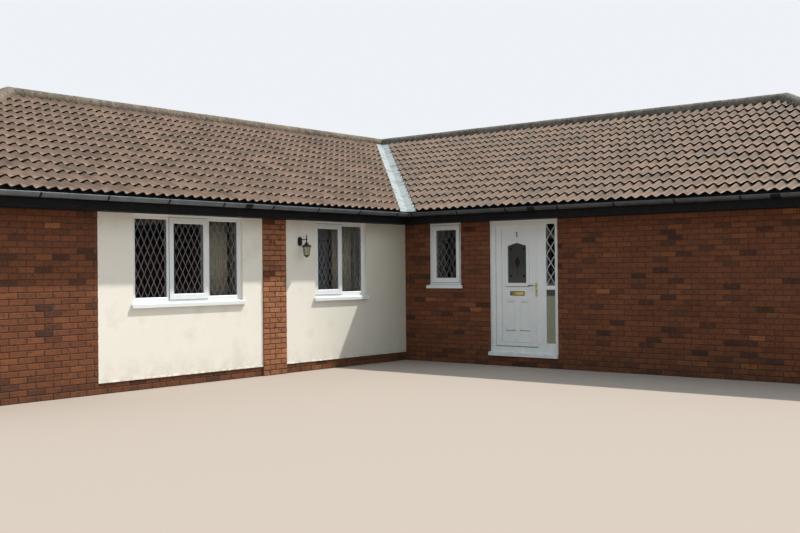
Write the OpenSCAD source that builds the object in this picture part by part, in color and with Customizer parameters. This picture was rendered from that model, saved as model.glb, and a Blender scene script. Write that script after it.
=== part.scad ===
// L-shaped bungalow: two equal wings meet at an inner corner and share one hipped, tiled roof.
// The origin is in the middle of the square round the walls, at their foot, with +Z up.
// Walls are drawn in their own frame: X along the wall to the right as seen from outside,
// Y inwards from the outer face, Z up.

/* [Plan] */
// Width of each wing over its outer faces
wing_w = 7008; // [6400:1:7600]
// Length of each wing beyond the inner corner
wing_run = 8630; // [8000:1:9400]
// Thickness of the outer cavity walls
wall_t = 275; // [250:1:320]

/* [Levels] */
// Underside of the boxed eaves, which is also the head of every window
soffit_z = 2250; // [2150:1:2400]
// Top of the floor inside
floor_z = 250; // [180:1:270]
// Top of the brick plinth that shows under the render
plinth_z = 135; // [90:1:200]
// How far the plinth stands back from the render
plinth_in = 10; // [5:1:20]
// How far the bell-mouth at the foot of the render stands out
bell_out = 6; // [3:1:12]
// Height of the bell-mouth
bell_h = 30; // [15:1:60]

/* [Yard walls] */
// Length of the right render panel, from the inner corner
render_right_len = 2781; // [2600:1:2950]
// Width of the brick pier between the render panels
pier_w = 455; // [330:1:560]
// How far the pier stands proud of the render
pier_out = 15; // [5:1:30]
// Length of the left render panel
render_left_len = 2744; // [2600:1:2900]

/* [Roof] */
// Pitch of every slope in degrees
pitch = 25; // [22:0.5:32]
// How far the tiles run past the wall face
tile_over = 298; // [270:1:330]
// Height of the tile crests above the soffit at their lower edge
tile_rise = 250; // [235:1:280]
// Thickness of the tiles and battens
tile_t = 50; // [40:1:60]
// Thickness of the rafters under them
rafter_t = 110; // [90:1:130]
// Depth of the birdsmouth with which the rafters sit on the walls
notch_h = 46; // [30:1:60]
// Radius of the round ridge and hip tiles
cap_r = 110; // [100:1:130]
// Depth of their centre below the line where two slopes meet
cap_drop = 70; // [60:1:85]
// Half width of the open valley between the cut tiles
valley_half = 130; // [90:1:170]
// Thickness of the valley lining
valley_t = 6; // [3:1:10]
// Width of the ceiling's bearing on the walls
ceiling_bearing = 50; // [20:1:60]
// Thickness of the ceiling
ceiling_t = 30; // [12:1:34]

/* [Eaves] */
// Depth of the soffit in front of the wall
soffit_d = 230; // [200:1:245]
// Thickness of the soffit board
soffit_t = 10; // [6:1:20]
// Thickness of the fascia board
fascia_t = 18; // [12:1:25]
// Outer radius of the half-round gutter
gutter_r = 56; // [50:1:60]
// Thickness of the gutter
gutter_t = 3; // [2:0.5:5]
// Height of the gutter's rim above the soffit
rim_rise = 170; // [140:1:190]
// Radius of the bead along the gutter's front edge
bead_r = 4; // [3:0.5:5]
// Distance between gutter brackets
bracket_pitch = 906; // [700:1:1100]
// Width of a gutter bracket
bracket_w = 26; // [16:1:40]
// Thickness of its strap
bracket_t = 3; // [2:0.5:4]
// First bracket to the right of the inner corner
bracket_right = 423; // [390:1:820]
// First bracket to the left of the inner corner
bracket_left = 619; // [390:1:820]
// Width of the unions that join two lengths of gutter
union_w = 130; // [100:1:150]
// Radius of a downpipe
pipe_r = 34; // [30:1:38]
// Distance of a downpipe's centre from the wall
pipe_off = 48; // [42:1:60]

/* [Windows] */
// Depth of the reveal in front of the frames
reveal = 40; // [20:1:80]
// Depth of the frames
frame_d = 60; // [54:1:80]
// Frame and bead round a fixed pane
frame_face = 62; // [50:1:75]
// Face of an opening sash round its pane
sash_face = 75; // [60:1:90]
// How far a sash stands proud of its frame
sash_proud = 12; // [6:1:18]
// How far a sash laps over its frame
sash_lap = 12; // [6:1:16]
// Slope of the beads round the panes
bead_slope = 10; // [4:1:14]
// Thickness of a sealed double pane
pane_t = 24; // [20:1:28]
// How far a pane reaches into its groove
pane_grip = 9; // [6:1:14]
// Foot of the sill under the wide and the narrow windows
sill_z = 1043; // [950:1:1150]
// Foot of the hall window's sill
hall_sill_z = 1198; // [1100:1:1300]
// Height of a sill's front edge
sill_nose = 44; // [30:1:55]
// Height of a sill where the frame stands on it
sill_h = 66; // [58:1:80]
// How far a sill stands in front of the wall
sill_out = 35; // [20:1:60]
// How far a sill's horns run past the opening
sill_horn = 32; // [20:1:60]
// Width of the three-light windows
large_w = 1840; // [1700:1:2000]
// Width of their middle sash
large_sash_w = 650; // [560:1:720]
// Width of the two-light windows
small_w = 1160; // [1050:1:1250]
// Width of their sash
small_sash_w = 602; // [540:1:660]
// Width of the hall window
hall_w = 651; // [600:1:700]
// Frame that shows beside a sash of a wide window
large_show = 35; // [25:1:45]
// Frame that shows beside a sash of a narrow window
small_show = 22; // [18:1:40]
// Frame that shows beside the hall window's sash
hall_show = 50; // [35:1:60]
// Left end of the wide window, left of the inner corner
large_x = -5455; // [-5480:1:-5430]
// Left end of the narrow window, left of the inner corner
small_x = -2155; // [-2200:1:-2100]
// Left end of the hall window, right of the inner corner
hall_x = 496; // [450:1:540]
// Distance of the wide rear windows from the outer corners
rear_margin = 1600; // [1200:1:2200]
// Distance between the narrow rear windows
rear_gap = 1800; // [1200:1:2400]

/* [Front door] */
// Left end of the door frame, right of the inner corner
door_x = 1685; // [1650:1:1720]
// Width of the door frame with its sidelight
door_set_w = 1245; // [1230:1:1260]
// Left jamb's face
jamb_face = 95; // [80:1:105]
// Right jamb's face, beside the sidelight
side_jamb_face = 77; // [60:1:90]
// Width of the opening in front of the leaf
leaf_open_w = 770; // [740:1:800]
// Width of the mullion between door and sidelight
mullion_w = 151; // [140:1:170]
// Height of the frame's foot rail
threshold_h = 75; // [60:1:90]
// Height of the frame's head
head_h = 72; // [60:1:90]
// Foot of the door sill
door_sill_z = 155; // [130:1:165]
// Height of the door sill
door_sill_h = 63; // [50:1:70]
// Fall of the door sill's top towards its front edge
door_sill_fall = 10; // [4:1:16]
// Thickness of the stop in front of the leaf
stop_t = 20; // [15:1:25]
// How far the stop covers the leaf's edge
stop_lap = 10; // [8:1:14]
// Clearance all round the leaf
leaf_gap = 5; // [5:0.5:7]
// Thickness of the leaf
leaf_t = 45; // [40:1:50]
// Width of the leaf's stiles that show
stile_w = 103; // [90:1:115]
// Height of the leaf's bottom rail that shows
bottom_rail_h = 72; // [60:1:90]
// Depth of the leaf's field behind the stiles
field_in = 6; // [3:1:10]
// How far the leaf's light and panels sit towards the handle
light_shift = 4; // [0:1:6]
// Width of the leaf's glass
light_w = 338; // [300:1:370]
// Foot of the leaf's glass
light_z = 1284; // [1250:1:1320]
// Height of the glass at its sides
light_h = 573; // [520:1:600]
// Rise of the glass in the middle
light_peak = 47; // [35:1:60]
// Width of the moulding round the glass
light_mould = 50; // [40:1:60]
// How far the mouldings stand proud
mould_t = 8; // [5:1:10]
// Width of the raised bead on both edges of the moulding round the glass
mould_bead = 10; // [6:1:14]
// How far the beads stand proud of the mouldings
mould_bead_t = 4; // [2:1:5]
// Height of the ledge under the glass
ledge_h = 14; // [10:1:20]
// Width of the raised shape at the foot of each lower panel
fan_w = 96; // [80:1:110]
// Height of that shape
fan_h = 36; // [26:1:44]
// Width of each lower panel over its moulding
panel_w = 180; // [160:1:200]
// Gap between the lower panels
panel_gap = 102; // [80:1:120]
// Foot of the lower panels
panel_z = 556; // [520:1:600]
// Height of the lower panels
panel_h = 465; // [420:1:500]
// Width of the panel mouldings
panel_mould = 26; // [18:1:34]
// Foot of the sidelight's transom
transom_z = 1179; // [1140:1:1220]
// Height of the transom
transom_h = 63; // [50:1:75]
// Foot of the sidelight's lower pane
side_pane_z = 370; // [340:1:420]
// Width of the letter plate
letter_w = 262; // [240:1:280]
// Height of the letter plate
letter_h = 66; // [55:1:75]
// Foot of the letter plate
letter_z = 1089; // [1070:1:1100]
// Height of the handle plate
handle_h = 205; // [180:1:220]
// Foot of the handle plate
handle_z = 1080; // [1050:1:1110]
// Width of the handle plate
handle_w = 32; // [26:1:36]
// Distance of its middle from the edge of the opening
handle_in = 34; // [30:1:50]
// Height of the house number
number_h = 84; // [70:1:95]
// Foot of the house number
number_z = 1990; // [1975:1:2005]
// Radius of the hinge pins
hinge_pin_r = 5; // [4:0.5:6]
// Clearance round a hinge pin
hinge_fit = 0.3; // [0.2:0.05:0.4]

/* [Lantern] */
// Distance of the lantern from the brick pier
lantern_in = 296; // [270:1:330]
// Distance of the lantern's axis from the wall
lantern_out = 145; // [125:1:165]
// Height of the arm
lantern_arm_z = 1964; // [1940:1:1990]
// Radius of the lantern's roof across its corners
lantern_roof_r = 72; // [64:1:80]
// Radius of the glass at its top
lantern_top_r = 59; // [52:1:64]
// Radius of the glass at its foot
lantern_foot_r = 43; // [38:1:48]
// Height of the glass
lantern_glass_h = 121; // [100:1:140]

/* [Curtains] */
// Distance of the rail's centre from the inner face of the wall
rail_off = 60; // [45:1:80]
// Radius of the rail
rail_r = 12; // [9:1:15]
// Height of the rail above the window head
rail_rise = 60; // [40:1:90]
// Foot of the curtains
curtain_z = 980; // [900:1:1040]
// Width of one fold
fold_w = 110; // [90:1:140]
// Depth of the folds to either side
fold_d = 18; // [10:1:24]
// Thickness of the cloth
cloth_t = 6; // [4:1:8]

/* [Hidden] */

round_fn = 48;
cut = 1;                                     // how far a cutter runs past the face it cuts
full_len = wing_w + wing_run;
far = 2 * full_len;
half = full_len / 2;
ic = [wing_w - half, half - wing_w];         // inner corner of the two yard walls
span = wing_w / 2;                           // from a wall face to the ridge
slope_t = tan(pitch);
eave_z = soffit_z + tile_rise;
tile_v = tile_t / cos(pitch);                // thicknesses measured upright
slab_v = (tile_t + rafter_t) / cos(pitch);
plate_z = eave_z + tile_over * slope_t - slab_v + notch_h;  // top of the walls
ridge_z = eave_z + (span + tile_over) * slope_t;
tall = 2 * ridge_z;
fascia_out = soffit_d + fascia_t;
rim_z = soffit_z + rim_rise;
gutter_h = -fascia_out - gutter_r;           // centre of the gutter, in front of the wall
pane_y = 20;                                 // a fixed pane behind the front of its frame
sash_pane_y = 8;
sash_body_d = 48;
sash_play = 3;                               // between a sash and the frame round it
frame_foot = 27;                             // frame that shows below a sash
frame_head = 35;                             // frame that shows above a sash
fit_gap = 0.5;

// Windows and door as boxes in their walls
large_lights = [["fixed", frame_face, (large_w - large_sash_w) / 2 - large_show],
    ["sash", (large_w - large_sash_w) / 2, (large_w + large_sash_w) / 2],
    ["fixed", (large_w + large_sash_w) / 2 + large_show, large_w - frame_face]];
small_lights = [["sash", small_show, small_show + small_sash_w],
    ["fixed", 2 * small_show + small_sash_w, small_w - frame_face]];
hall_lights = [["sash", hall_show, hall_w - hall_show]];
large = [large_w, sill_z, large_lights];
small = [small_w, sill_z, small_lights];
hall = [hall_w, hall_sill_z, hall_lights];
long_wall_windows = [[rear_margin, large], [half - rear_gap / 2 - small_w, small],
    [half + rear_gap / 2, small], [full_len - rear_margin - large_w, large]];
end_windows = [[(wing_w - large_w) / 2, large]];

door_top = soffit_z - head_h;
door_foot = door_sill_z + door_sill_h;
leaf_open_x = door_x + jamb_face;
side_x = leaf_open_x + leaf_open_w + mullion_w;
side_w = door_x + door_set_w - side_jamb_face - side_x;
lip_foot = door_foot + threshold_h;
leaf_x = leaf_open_x - stop_lap;
leaf_w = leaf_open_w + 2 * stop_lap;
leaf_z = lip_foot - stop_lap;
leaf_h = door_top + stop_lap - leaf_z;
leaf_y = reveal + stop_t + leaf_gap;         // front of the leaf, inwards from the wall face
leaf_back = leaf_y + leaf_t;
door_d = leaf_back - reveal;
leaf_mid = leaf_open_x + leaf_open_w / 2 + light_shift;
mould_y = leaf_y + field_in;
hinge_r = 8;                                 // knuckle
hinge_clear = 2;                             // between the knuckle and the leaf's inner face
hinge_y = leaf_back + hinge_r + hinge_clear;
hinge_x = leaf_x - leaf_gap / 2;
hinge_h = 100;
hinge_split = 35;                            // knuckle on the frame, below the leaf's knuckle
hinge_plate_t = 3;
hinge_plate_w = 60;
hinge_inset = 180;                           // from the leaf's foot and top to the outer hinges
hinge_zs = [leaf_z + hinge_inset, leaf_z + leaf_h / 2, leaf_z + leaf_h - hinge_inset - hinge_h];

// Height of the tile crests over a point h inwards from the wall face
function crest(h) = eave_z + (h + tile_over) * slope_t;

// Frames of the six walls
module yard_right() { translate([ic[0], ic[1], 0]) children(); }
module yard_left() { translate([ic[0], ic[1], 0]) rotate([0, 0, 90]) children(); }
module end_right() { translate([half, ic[1], 0]) rotate([0, 0, 90]) children(); }
module back() { translate([half, half, 0]) rotate([0, 0, 180]) children(); }
module side_left() { translate([-half, half, 0]) rotate([0, 0, 270]) children(); }
module end_left() { translate([-half, -half, 0]) children(); }

// A section (Y inwards, Z up) drawn out along a wall from x0 to x1
module along(x0, x1) { translate([x0, 0, 0]) rotate([90, 0, 90]) linear_extrude(x1 - x0) children(); }

// Ground plan of a strip beside a wall, mitred at both ends; a turn is 1 at an outer
// corner and -1 at the inner one
function strip(x0, x1, turn0, turn1, out, in) = concat(
    [[x0 - turn0 * out, -out], [x0 + turn0 * in, in]],
    x1 - turn1 * in > x0 + turn0 * in + 1 ? [[x1 - turn1 * in, in]] : [],
    [[x1 + turn1 * out, -out]]);

module mitred(x0, x1, turn0, turn1, out, in) {
    intersection() {
        along(x0 - out - in, x1 + out + in) children();
        translate([0, 0, -cut]) linear_extrude(tall) polygon(strip(x0, x1, turn0, turn1, out, in));
    }
}

// Walls, floor and ceiling
module wall(x0, x1, z0, z1) { translate([x0, 0, z0]) cube([x1 - x0, wall_t, z1 - z0]); }

module hole(at, window) {
    translate([at, -wall_t, window[1]]) cube([window[0], 3 * wall_t, soffit_z - window[1]]);
}

module pierced(windows) {
    difference() {
        children();
        for (w = windows) hole(w[0], w[1]);
    }
}

function inner_plan(inset) = [[-half + inset, -half + inset], [ic[0] - inset, -half + inset],
    [ic[0] - inset, ic[1] + inset], [half - inset, ic[1] + inset],
    [half - inset, half - inset], [-half + inset, half - inset]];

module floor_slab() { color("gray") linear_extrude(floor_z) polygon(inner_plan(wall_t)); }

module ceiling() {
    color("white") translate([0, 0, plate_z])
        linear_extrude(ceiling_t) polygon(inner_plan(wall_t - ceiling_bearing));
}

module render_section() {
    polygon([[plinth_in, 0], [wall_t, 0], [wall_t, plate_z], [0, plate_z],
        [0, plinth_z + bell_h], [-bell_out, plinth_z], [plinth_in, plinth_z]]);
}

pier_x1 = -render_right_len;
pier_x0 = pier_x1 - pier_w;
render_x0 = pier_x0 - render_left_len;

module brick_end_panel() {
    color("firebrick") yard_left() wall(wall_t - wing_run, render_x0, 0, plate_z);
}

module render_panel_left() {
    color("cornsilk") yard_left() pierced([[large_x, large]]) along(render_x0, pier_x0) render_section();
}

module brick_pier() {
    color("firebrick") yard_left() {
        wall(pier_x0, pier_x1, 0, plate_z);
        translate([pier_x0, -pier_out, 0]) cube([pier_w, pier_out + cut, soffit_z]);
    }
}

module render_panel_right() {
    color("cornsilk") yard_left() pierced([[small_x, small]]) along(pier_x1, 0) render_section();
}

module front_wall_left() {
    color("firebrick") yard_right() pierced([[hall_x, hall]]) wall(-wall_t, door_x, 0, plate_z);
}

module front_wall_over_door() {
    color("firebrick") yard_right() wall(door_x, door_x + door_set_w, soffit_z, plate_z);
}

module front_wall_right() {
    color("firebrick") yard_right() wall(door_x + door_set_w, wing_run - wall_t, 0, plate_z);
}

module doorway_base() {
    color("firebrick") yard_right() along(door_x, door_x + door_set_w)
        polygon([[0, 0], [wall_t, 0], [wall_t, floor_z], [reveal + door_d, floor_z],
            [reveal + door_d, door_sill_z], [0, door_sill_z]]);
}

module right_end_wall() {
    color("firebrick") end_right() pierced(end_windows) wall(0, wing_w - wall_t, 0, plate_z);
}

module back_wall() {
    color("firebrick") back() pierced(long_wall_windows) wall(0, full_len, 0, plate_z);
}

module left_side_wall() {
    color("firebrick") side_left() pierced(long_wall_windows) wall(wall_t, full_len, 0, plate_z);
}

module left_end_wall() {
    color("firebrick") end_left() pierced(end_windows) wall(wall_t, wing_w, 0, plate_z);
}

// Roof slopes: rafters with a birdsmouth on the wall head, and the tiles past the fascia
seat_h = notch_h / slope_t;

module slope_section() {
    polygon([[-tile_over, crest(-tile_over)], [span, crest(span)], [span, crest(span) - slab_v],
        [seat_h, plate_z], [0, plate_z], [0, crest(0) - slab_v],
        [-soffit_d, crest(-soffit_d) - slab_v], [-soffit_d, crest(-soffit_d) - tile_v],
        [-tile_over, crest(-tile_over) - tile_v]]);
}

module slope(x0, x1, turn0, turn1) { mitred(x0, x1, turn0, turn1, tile_over, span) slope_section(); }

// Layer of a slope between two heights above the rafters
module layer(x0, x1, turn0, turn1, from, to, out) {
    mitred(x0, x1, turn0, turn1, out, span)
        polygon([[-out, crest(-out) - tile_v + from], [span, crest(span) - tile_v + from],
            [span, crest(span) - tile_v + to], [-out, crest(-out) - tile_v + to]]);
}

// Upright strip over the valley, which runs back from the inner corner
module valley_strip(width) {
    translate([ic[0], ic[1], 0]) rotate([0, 0, 135]) translate([-2 * soffit_d - tile_over, -width, 0])
        cube([far, 2 * width, tall]);
}

module roof_left_inner() {
    color("dimgray") difference() {
        yard_left() slope(-wing_run, 0, 1, -1);
        valley_strip(valley_half);
    }
}

module roof_right_front() {
    color("dimgray") difference() {
        yard_right() slope(0, wing_run, -1, 1);
        valley_strip(valley_half);
    }
}

// Rafters and boards between the cut tiles, which carry the valley lining
module valley_boards() {
    color("burlywood") difference() {
        intersection() {
            union() {
                yard_left() slope(-wing_run, 0, 1, -1);
                yard_right() slope(0, wing_run, -1, 1);
            }
            valley_strip(valley_half);
        }
        yard_left() layer(-wing_run, 0, 1, -1, -bed_gap, 2 * tile_v, soffit_d + tile_over);
        yard_right() layer(0, wing_run, -1, 1, -bed_gap, 2 * tile_v, soffit_d + tile_over);
    }
}

module roof_left_outer() { color("dimgray") side_left() slope(0, full_len, 1, 1); }
module roof_left_end() { color("dimgray") end_left() slope(0, wing_w, 1, 1); }
module roof_right_back() { color("dimgray") back() slope(0, full_len, 1, 1); }
module roof_right_end() { color("dimgray") end_right() slope(0, wing_w, 1, 1); }

module valley_trough() {
    color("lightgray") intersection() {
        union() {
            yard_left() layer(-wing_run, 0, 1, -1, 0, valley_t, tile_over);
            yard_right() layer(0, wing_run, -1, 1, 0, valley_t, tile_over);
        }
        valley_strip(valley_half - fit_gap);
    }
}

// Ridge and hip tiles, bedded on the crests and mitred where they meet
apex_corner = [ic[0] - span, ic[1] + span];
apex_right = [half - span, ic[1] + span];
apex_left = [ic[0] - span, -half + span];
hip_tilt = atan(slope_t / sqrt(2));
hip_len = (span + tile_over) * sqrt(2) / cos(hip_tilt) - cap_r;  // ends short of the eaves' corner
bed_gap = 0.3;                               // under the round tiles and the valley lining

// Upright wedge between two directions
module wedge(at, from, to) {
    translate([at[0], at[1], 0]) linear_extrude(tall)
        polygon([[0, 0], far * [cos(from), sin(from)],
            far * [cos((from + to) / 2), sin((from + to) / 2)], far * [cos(to), sin(to)]]);
}

module ridge_section() {
    difference() {
        translate([0, ridge_z - cap_drop]) circle(r = cap_r, $fn = round_fn);
        translate([0, bed_gap]) polygon([[-span, ridge_z - span * slope_t], [0, ridge_z],
            [span, ridge_z - span * slope_t], [span, 0], [-span, 0]]);
    }
}

module ridge_run(at, length, turn) {
    translate([at[0], at[1], 0]) rotate([0, 0, turn]) along(-cap_r, length + cap_r) ridge_section();
}

module ridge_tiles_right() {
    color("gray") intersection() {
        ridge_run(apex_corner, wing_run, 0);
        wedge(apex_corner, -45, 67.5);
        wedge(apex_right, 112.5, 247.5);
    }
}

module ridge_tiles_left() {
    color("gray") intersection() {
        ridge_run(apex_corner, wing_run, -90);
        wedge(apex_corner, 202.5, 315);
        wedge(apex_left, 22.5, 157.5);
    }
}

module hip_round(at, turn) {
    translate([at[0], at[1], ridge_z - cap_drop]) rotate([0, 0, turn]) rotate([0, 90 + hip_tilt, 0])
        translate([0, 0, -cap_r]) cylinder(r = cap_r, h = hip_len + cap_r, $fn = round_fn);
}

// Everything below the crests of a slope, past its ends too
module under_slope() {
    along(-tile_over - cap_r, full_len + tile_over + cap_r)
        translate([0, bed_gap]) polygon([[-2 * tile_over, 0], [-2 * tile_over, crest(-2 * tile_over)],
            [2 * span, crest(2 * span)], [2 * span, 0]]);
}

module yard_hip_tiles() {
    color("gray") {
        difference() {
            intersection() { hip_round(apex_right, -45); wedge(apex_right, -112.5, 0); }
            translate([-half, 0, 0]) yard_right() under_slope();
            translate([0, -half, 0]) end_right() under_slope();
        }
        difference() {
            intersection() { hip_round(apex_left, -45); wedge(apex_left, -90, 22.5); }
            translate([0, -half, 0]) yard_left() under_slope();
            end_left() under_slope();
        }
    }
}

module rear_hip_tiles() {
    color("gray") {
        difference() {
            intersection() { hip_round(apex_right, 45); wedge(apex_right, 0, 112.5); }
            back() under_slope();
            translate([0, -half, 0]) end_right() under_slope();
        }
        difference() {
            intersection() { hip_round(apex_corner, 135); wedge(apex_corner, 67.5, 202.5); }
            back() under_slope();
            side_left() under_slope();
        }
        difference() {
            intersection() { hip_round(apex_left, 225); wedge(apex_left, 157.5, 270); }
            side_left() under_slope();
            end_left() under_slope();
        }
    }
}

// Boxed eaves and rainwater goods, one mitred run for each wall
module run_yard_left(out) { yard_left() mitred(-wing_run, 0, 1, -1, out, 0) children(); }
module run_yard_right(out) { yard_right() mitred(0, wing_run, -1, 1, out, 0) children(); }
module run_end_right(out) { end_right() mitred(0, wing_w, 1, 1, out, 0) children(); }
module run_back(out) { back() mitred(0, full_len, 1, 1, out, 0) children(); }
module run_side_left(out) { side_left() mitred(0, full_len, 1, 1, out, 0) children(); }
module run_end_left(out) { end_left() mitred(0, wing_w, 1, 1, out, 0) children(); }

module fascia_section() {
    translate([-fascia_out, soffit_z]) square([fascia_t, crest(-fascia_out) - tile_v - fit_gap - soffit_z]);
}

module soffit_section() { translate([-soffit_d, soffit_z]) square([soffit_d, soffit_t]); }

module gutter_section() {
    difference() {
        translate([gutter_h, rim_z]) circle(r = gutter_r, $fn = round_fn);
        translate([gutter_h, rim_z]) circle(r = gutter_r - gutter_t, $fn = round_fn);
        translate([gutter_h - gutter_r - cut, rim_z]) square([2 * gutter_r + 2 * cut, gutter_r + cut]);
    }
    translate([gutter_h - gutter_r + bead_r, rim_z]) circle(r = bead_r, $fn = 24);
}

gutter_edge = fascia_out + 2 * gutter_r + cut;

module side_fascias() {
    color("black") {
        run_yard_left(fascia_out) fascia_section();
        run_end_right(fascia_out) fascia_section();
        run_side_left(fascia_out) fascia_section();
    }
}

module front_fascias() {
    color("black") {
        run_yard_right(fascia_out) fascia_section();
        run_back(fascia_out) fascia_section();
        run_end_left(fascia_out) fascia_section();
    }
}

module side_soffits() {
    color("black") {
        run_yard_left(soffit_d) soffit_section();
        run_end_right(soffit_d) soffit_section();
        run_side_left(soffit_d) soffit_section();
    }
}

module front_soffits() {
    color("black") {
        run_yard_right(soffit_d) soffit_section();
        run_back(soffit_d) soffit_section();
        run_end_left(soffit_d) soffit_section();
    }
}

module yard_gutter_left() { color("black") run_yard_left(gutter_edge) gutter_section(); }
module yard_gutter_right() { color("black") run_yard_right(gutter_edge) gutter_section(); }

module outer_side_gutters() {
    color("black") {
        run_end_right(gutter_edge) gutter_section();
        run_side_left(gutter_edge) gutter_section();
    }
}

module outer_front_gutters() {
    color("black") {
        run_back(gutter_edge) gutter_section();
        run_end_left(gutter_edge) gutter_section();
    }
}

// Strap under the gutter: a bracket, or a union where two lengths of gutter meet
module strap(at, width) {
    translate([at, 0, 0]) along(-width / 2, width / 2) intersection() {
        difference() {
            translate([gutter_h, rim_z]) circle(r = gutter_r + bracket_t, $fn = round_fn);
            translate([gutter_h, rim_z]) circle(r = gutter_r, $fn = round_fn);
        }
        translate([gutter_h - 2 * gutter_r, rim_z - 2 * gutter_r])
            square([2 * gutter_r - fascia_out - gutter_h, 2 * gutter_r]);
    }
}

union_every = 4;                             // brackets from one union to the next
before_right = 3;                            // brackets before the first union
before_left = 4;

// Brackets along a gutter, and its unions midway between two of them
module straps(first, before, to) {
    count = floor((to - first) / bracket_pitch);
    for (i = [0:count]) strap(first + i * bracket_pitch, bracket_w);
    for (i = [before:union_every:count - 1]) strap(first + (i - 0.5) * bracket_pitch, union_w);
}

module gutter_brackets() {
    color("black") {
        yard_left() mirror([1, 0, 0]) straps(bracket_left, before_left, wing_run);
        yard_right() straps(bracket_right, before_right, wing_run);
        end_right() straps(bracket_right, before_right, wing_w);
        back() straps(bracket_right, before_right, full_len);
        side_left() straps(bracket_right, before_right, full_len);
        end_left() straps(bracket_right, before_right, wing_w);
    }
}

// Downpipe: outlet under the gutter, swan neck back to the wall, pipe, clips and shoe
neck_below = 30;                             // top bend of the neck, under the soffit
neck_drop = 160;
shoe_z = 150;
elbow_t = 4;
clip_h = 30;
clip_wing = 10;
clip_zs = [500, 1300, 1900];

module rod(from, to, r) {
    run = to - from;
    flat = sqrt(run[0] * run[0] + run[1] * run[1]);
    translate(from) rotate([0, atan2(flat, run[2]), atan2(run[1], run[0])])
        cylinder(r = r, h = norm(run), $fn = round_fn);
}

module downpipe(at) {
    top = [at, gutter_h, rim_z - gutter_r];
    neck = [at, gutter_h, soffit_z - neck_below];
    knee = [at, -pipe_off, neck[2] - neck_drop];
    foot = [at, -pipe_off, shoe_z];
    difference() {
        union() {
            rod(neck, top, pipe_r);
            rod(neck, knee, pipe_r);
            rod(foot, knee, pipe_r);
            translate(neck) sphere(r = pipe_r + elbow_t, $fn = round_fn);
            translate(knee) sphere(r = pipe_r + elbow_t, $fn = round_fn);
            translate(foot) sphere(r = pipe_r + elbow_t, $fn = round_fn);
            rod(foot, foot + [0, -2 * pipe_r, -pipe_r], pipe_r);
            for (z = clip_zs) translate([at - pipe_r - clip_wing, -pipe_off, z])
                cube([2 * (pipe_r + clip_wing), pipe_off, clip_h]);
        }
        translate([at, gutter_h, rim_z]) rotate([0, 90, 0])
            cylinder(r = gutter_r + fit_gap / 2, h = 4 * pipe_r, center = true, $fn = round_fn);
    }
}

// Places of the first and last downpipe of a long wall, each midway between two brackets
pipe_first = bracket_right + bracket_pitch / 2;
pipe_last = bracket_right + (floor((full_len - bracket_right) / bracket_pitch) - 0.5) * bracket_pitch;

module downpipes() {
    color("black") {
        back() downpipe(pipe_first);
        back() downpipe(pipe_last);
        side_left() downpipe(pipe_last);
        end_right() downpipe(pipe_first);
    }
}

// Window parts, drawn from the lower left corner of the frame
module bevelled_hole(x0, x1, z0, z1, y0, y1) {
    translate([x0, y0 - cut, z0]) cube([x1 - x0, y1 - y0 + 2 * cut, z1 - z0]);
    intersection() {
        translate([0, 0, z0 - bead_slope]) linear_extrude(z1 - z0 + 2 * bead_slope)
            polygon([[x0 - bead_slope, y0], [x1 + bead_slope, y0], [x1, y0 + bead_slope],
                [x0, y0 + bead_slope]]);
        along(x0 - bead_slope, x1 + bead_slope)
            polygon([[y0, z0 - bead_slope], [y0, z1 + bead_slope], [y0 + bead_slope, z1],
                [y0 + bead_slope, z0]]);
    }
}

module pane(x0, x1, z0, z1, y0) {
    translate([x0 - pane_grip, y0, z0 - pane_grip])
        cube([x1 - x0 + 2 * pane_grip, pane_t, z1 - z0 + 2 * pane_grip]);
}

module fixed_pane(light, h) { pane(light[1], light[2], frame_face, h - frame_face, pane_y); }

module sash_pane(light, h) {
    pane(light[1] + sash_face, light[2] - sash_face, frame_foot + sash_face,
        h - frame_head - sash_face, sash_pane_y);
}

module window_frame(w, h, lights) {
    difference() {
        cube([w, frame_d, h]);
        for (light = lights) {
            if (light[0] == "fixed") {
                bevelled_hole(light[1], light[2], frame_face, h - frame_face, 0, frame_d);
                fixed_pane(light, h);
            } else {
                translate([light[1] + sash_lap, -cut, frame_foot + sash_lap])
                    cube([light[2] - light[1] - 2 * sash_lap, frame_d + 2 * cut,
                        h - frame_foot - frame_head - 2 * sash_lap]);
            }
        }
    }
}

module window_sash(light, h) {
    x0 = light[1];
    x1 = light[2];
    z0 = frame_foot;
    z1 = h - frame_head;
    in = sash_lap + sash_play;
    difference() {
        union() {
            translate([x0, -sash_proud, z0]) cube([x1 - x0, sash_proud, z1 - z0]);
            translate([x0 + in, -cut, z0 + in])
                cube([x1 - x0 - 2 * in, sash_body_d + cut, z1 - z0 - 2 * in]);
        }
        bevelled_hole(x0 + sash_face, x1 - sash_face, z0 + sash_face, z1 - sash_face,
            -sash_proud, sash_body_d);
        sash_pane(light, h);
    }
}

module window_glass(h, lights) {
    for (light = lights) {
        if (light[0] == "fixed") fixed_pane(light, h);
        else sash_pane(light, h);
    }
}

module window_sashes(h, lights) {
    for (light = lights) {
        if (light[0] == "sash") window_sash(light, h);
    }
}

module sill(w) {
    along(0, w) polygon([[-sill_out, 0], [reveal + frame_d, 0], [reveal + frame_d, sill_h],
        [reveal, sill_h], [-sill_out, sill_nose]]);
    along(-sill_horn, w + sill_horn) polygon([[-sill_out, 0], [0, 0],
        [0, sill_nose + (sill_h - sill_nose) * sill_out / (reveal + sill_out)],
        [-sill_out, sill_nose]]);
}

// Puts a window's parts into their opening
module at_frame(x, window) { translate([x, reveal, window[1] + sill_h]) children(); }

function frame_h(window) = soffit_z - window[1] - sill_h;

module frames(list) {
    for (w = list) at_frame(w[0], w[1]) window_frame(w[1][0], frame_h(w[1]), w[1][2]);
}

module sashes(list) {
    for (w = list) at_frame(w[0], w[1]) window_sashes(frame_h(w[1]), w[1][2]);
}

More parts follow.
